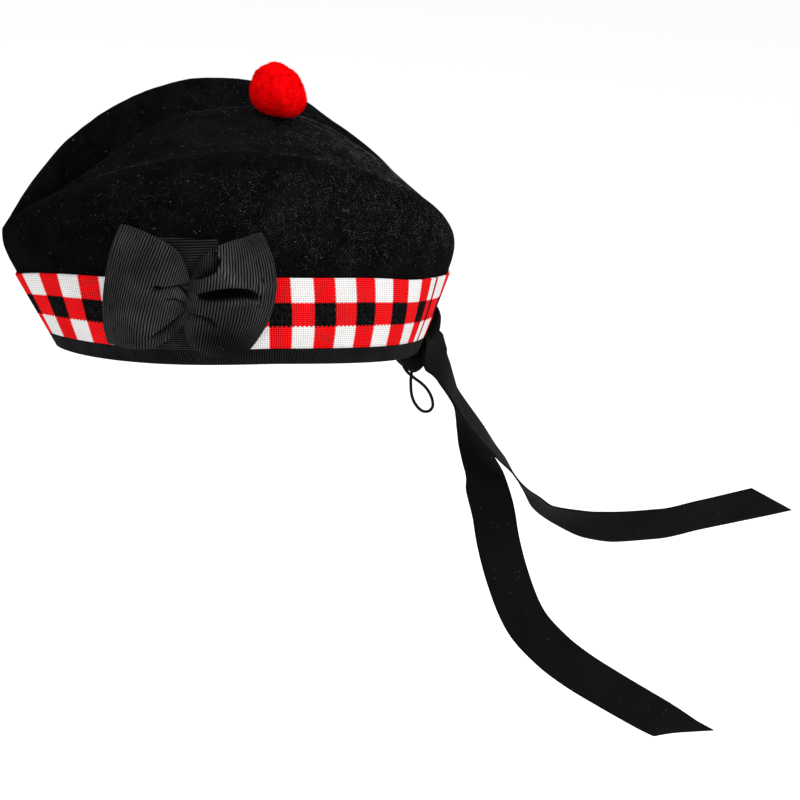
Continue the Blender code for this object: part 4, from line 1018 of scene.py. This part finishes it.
# Rows are a place along the tail, the route's back, up and side in shares of the length, and a turn in degrees.
tails = {
    "width": 0.0260, "ribbon": 0.0007, "endCut": 0.0285, "plane": 10.0, "hidden": 0.012, "hiddenRows": 12,
    "rise": (0.0, 0.55, -0.80), "narrow": 0.55, "spread": 0.30, "spreadTo": 0.052, "spreadRamp": 0.014,
    "pinch": 0.23, "pinchTo": 0.03, "stations": 260, "across": 12, "reach": 0.004, "ribPitch": 0.0009,
    "tailLower": {"node": "tail_lower", "start": (0.0018, 0.1173, -0.0057), "length": 0.332, "rows": np.array([
        (0.000, 0.000, 0.000, 0.000, 60), (0.027, 0.006, -0.027, 0.000, 54), (0.068, 0.024, -0.061, -0.006, 65),
        (0.100, 0.041, -0.087, -0.012, 71), (0.129, 0.055, -0.112, -0.015, 76), (0.154, 0.066, -0.132, -0.018, 70),
        (0.177, 0.0765, -0.151, -0.021, 61), (0.218, 0.0945, -0.188, -0.021, 46), (0.250, 0.106, -0.218, -0.021, 43),
        (0.278, 0.118, -0.243, -0.021, 36), (0.312, 0.131, -0.275, -0.021, 13), (0.364, 0.149, -0.325, -0.018, 2),
        (0.418, 0.162, -0.377, -0.015, 0), (0.496, 0.188, -0.451, -0.012, 0), (0.587, 0.229, -0.532, -0.009, -2),
        (0.671, 0.287, -0.592, -0.006, -4), (0.736, 0.340, -0.631, -0.003, -6), (0.802, 0.396, -0.665, 0.000, -8),
        (0.916, 0.495, -0.722, 0.000, -11), (1.000, 0.570, -0.763, 0.000, -28)])},
    "tailUpper": {"node": "tail_upper", "start": (0.0038, 0.1179, -0.0047), "length": 0.288, "rows": np.array([
        (0.000, 0.000, 0.000, 0.000, 60), (0.037, 0.0015, -0.037, 0.007, 54), (0.072, 0.0185, -0.067, 0.014, 65),
        (0.102, 0.0325, -0.093, 0.017, 71), (0.131, 0.0465, -0.118, 0.021, 76), (0.169, 0.0675, -0.147, 0.026, 75),
        (0.226, 0.104, -0.189, 0.028, 77), (0.286, 0.144, -0.234, 0.026, 83), (0.325, 0.172, -0.262, 0.024, 87),
        (0.357, 0.191, -0.287, 0.024, 90), (0.415, 0.233, -0.328, 0.021, 104), (0.459, 0.264, -0.358, 0.017, 116),
        (0.525, 0.326, -0.384, 0.014, 133), (0.585, 0.383, -0.400, 0.010, 146), (0.646, 0.444, -0.406, 0.007, 152),
        (0.737, 0.534, -0.403, 0.003, 152), (0.828, 0.623, -0.386, 0.003, 152), (0.916, 0.710, -0.369, 0.003, 154),
        (1.000, 0.792, -0.353, 0.003, 156)])},
}


def makeTail(name, material):
    # A strip carried along the route: its width is the square to the route in the tail's plane, turned by the row's
    # turn. It begins narrower inside the knot, straight above the route's start, and near its top one edge spreads
    # and the other is pinched.
    row, rows, length = tails[name], tails[name]["rows"], tails[name]["length"]
    plane = math.radians(tails["plane"])
    sideWay = np.array([math.cos(plane), -math.sin(plane), 0])

    def route(place):
        return np.array(row["start"]) + length * np.stack(smoothColumns(rows, np.minimum(place, 1), 3, 1, 2), -1)

    across = np.linspace(-1, 1, tails["across"] + 1)[None, :]
    place = np.linspace(0, 1, tails["stations"])[:, None] * (1 + across * tails["endCut"] / 2 / length)
    rising = np.linspace(tails["hidden"], 0, tails["hiddenRows"], endpoint=False)[:, None] + 0 * across
    place = np.concatenate([-rising / length, place])
    held = np.clip(place, tails["reach"], 1 - tails["reach"])
    along = unit(route(held + tails["reach"]) - route(held - tails["reach"]))
    turn = np.radians(smoothColumns(rows, np.minimum(place, 1), 4)[0])[..., None]
    width = unit(np.cross(sideWay, along)) * np.cos(turn) - sideWay * np.sin(turn)
    before, after = np.minimum(place, 0) * length, np.maximum(place - 1, 0) * length
    narrow = 1 - tails["narrow"] * ramp(-before, 0, tails["hidden"])
    spread = 1 + tails["spread"] * ramp(-place, -tails["spreadTo"], tails["spreadRamp"])
    pinched = 1 - tails["pinch"] * np.clip(1 - place / tails["pinchTo"], 0, 1)
    half = across * narrow * np.where(across < 0, spread, pinched) * tails["width"] / 2
    grid = route(np.maximum(place, 0)) + along * after[..., None] + width * half[..., None]
    grid += before[..., None] * np.array(tails["rise"])
    uv = np.stack([place * length, across * tails["width"] / 2 + 0 * place], -1) / tails["ribPitch"]
    item = makeCloth(name, grid, material, "black_satin_ribbon", row["node"], tails["ribbon"], 0.0, uv)


drawstring = {"diameter": 0.0018, "points": 60, "route": np.array([
    (0.0045, 0.0990, -0.0215), (0.0048, 0.1010, -0.0243), (0.0055, 0.1037, -0.0266), (0.0060, 0.1061, -0.0284),
    (0.0060, 0.1093, -0.0305), (0.0060, 0.1131, -0.0337), (0.0060, 0.1163, -0.0379), (0.0060, 0.1181, -0.0421),
    (0.0060, 0.1184, -0.0456), (0.0058, 0.1172, -0.0476), (0.0056, 0.1148, -0.0485), (0.0054, 0.1122, -0.0479),
    (0.0052, 0.1096, -0.0458), (0.0047, 0.1069, -0.0421), (0.0040, 0.1053, -0.0374), (0.0034, 0.1048, -0.0329),
    (0.0028, 0.1047, -0.0297), (0.0024, 0.1049, -0.0268), (0.0024, 0.1050, -0.0252)])}


def makeDrawstring():
    # A round cord through the route's points: each span is divided by a cubic with the slopes of its neighbours.
    route = drawstring["route"]
    run = lengthAlong(route)
    at = np.linspace(0, run[-1], drawstring["points"])
    points = cubicCurve(run, route, np.gradient(route, run, axis=0), at)
    material, tree, shader, coordinates = newMaterial("blackCord", 0.8, 0.05)
    grain = noise(tree, coordinates["Object"], 1500.0, 2.0)
    setLook(tree, shader, mixColors(tree, grain, (0.003, 0.003, 0.003), (0.010, 0.010, 0.010)), grain, 0.6, 0.0003)
    curve = bpy.data.curves.new("drawstring", "CURVE")
    curve.dimensions = "3D"
    curve.bevel_depth = drawstring["diameter"] / 2
    curve.bevel_resolution = 4
    curve.use_fill_caps = True
    curve.materials.append(material)
    spline = curve.splines.new("POLY")
    spline.points.add(len(points) - 1)
    spline.points.foreach_set("co", np.column_stack([points, np.ones(len(points))]).ravel())
    item = placeObject("drawstring", curve)
    finishPiece(item, "black_cord", "drawstring_loop")


ribbonMaterial = makeRibbonMaterial()
makeKnot(ribbonMaterial)
for tailName in ("tailLower", "tailUpper"):
    makeTail(tailName, ribbonMaterial)
makeDrawstring()
print("knot, tails and drawstring made")

# Floor and light

studio = {
    "floor": -0.50, "reach": 30, "world": 1.0, "aim": (0, 0, 0.05),
    "lights": (  # name, place, size, power
        ("keyLight", (1.2, 1.3, 1.6), 1.0, 40.0), ("topLight", (-0.2, -0.3, 2.1), 1.4, 22.0),
        ("frontLight", (1.7, -1.2, 0.7), 1.2, 12.0)),
}


def makeStudio():
    material, tree, shader, coordinates = newMaterial("paleFloor", 0.9)
    shader.inputs["Base Color"].default_value = (0.95, 0.95, 0.95, 1.0)
    corners = [(i * studio["reach"], j * studio["reach"], studio["floor"])
               for i, j in ((-1, -1), (1, -1), (1, 1), (-1, 1))]
    floor = newMesh("floor", corners, [(0, 1, 2, 3)], material)
    world = bpy.data.worlds.new("studio")
    bpy.context.scene.world = world
    world.use_nodes = True
    background = world.node_tree.nodes["Background"]
    background.inputs["Color"].default_value = (1.0, 1.0, 1.0, 1.0)
    background.inputs["Strength"].default_value = studio["world"]
    for name, place, size, power in studio["lights"]:
        data = bpy.data.lights.new(name, "AREA")
        data.shape, data.size, data.energy = "DISK", size, power
        back = unit(np.array(place) - np.array(studio["aim"]))
        right = unit(np.cross([0, 0, 1], back))
        placeObject(name, data, (right, np.cross(back, right), back), place)


makeStudio()
print("studio made")
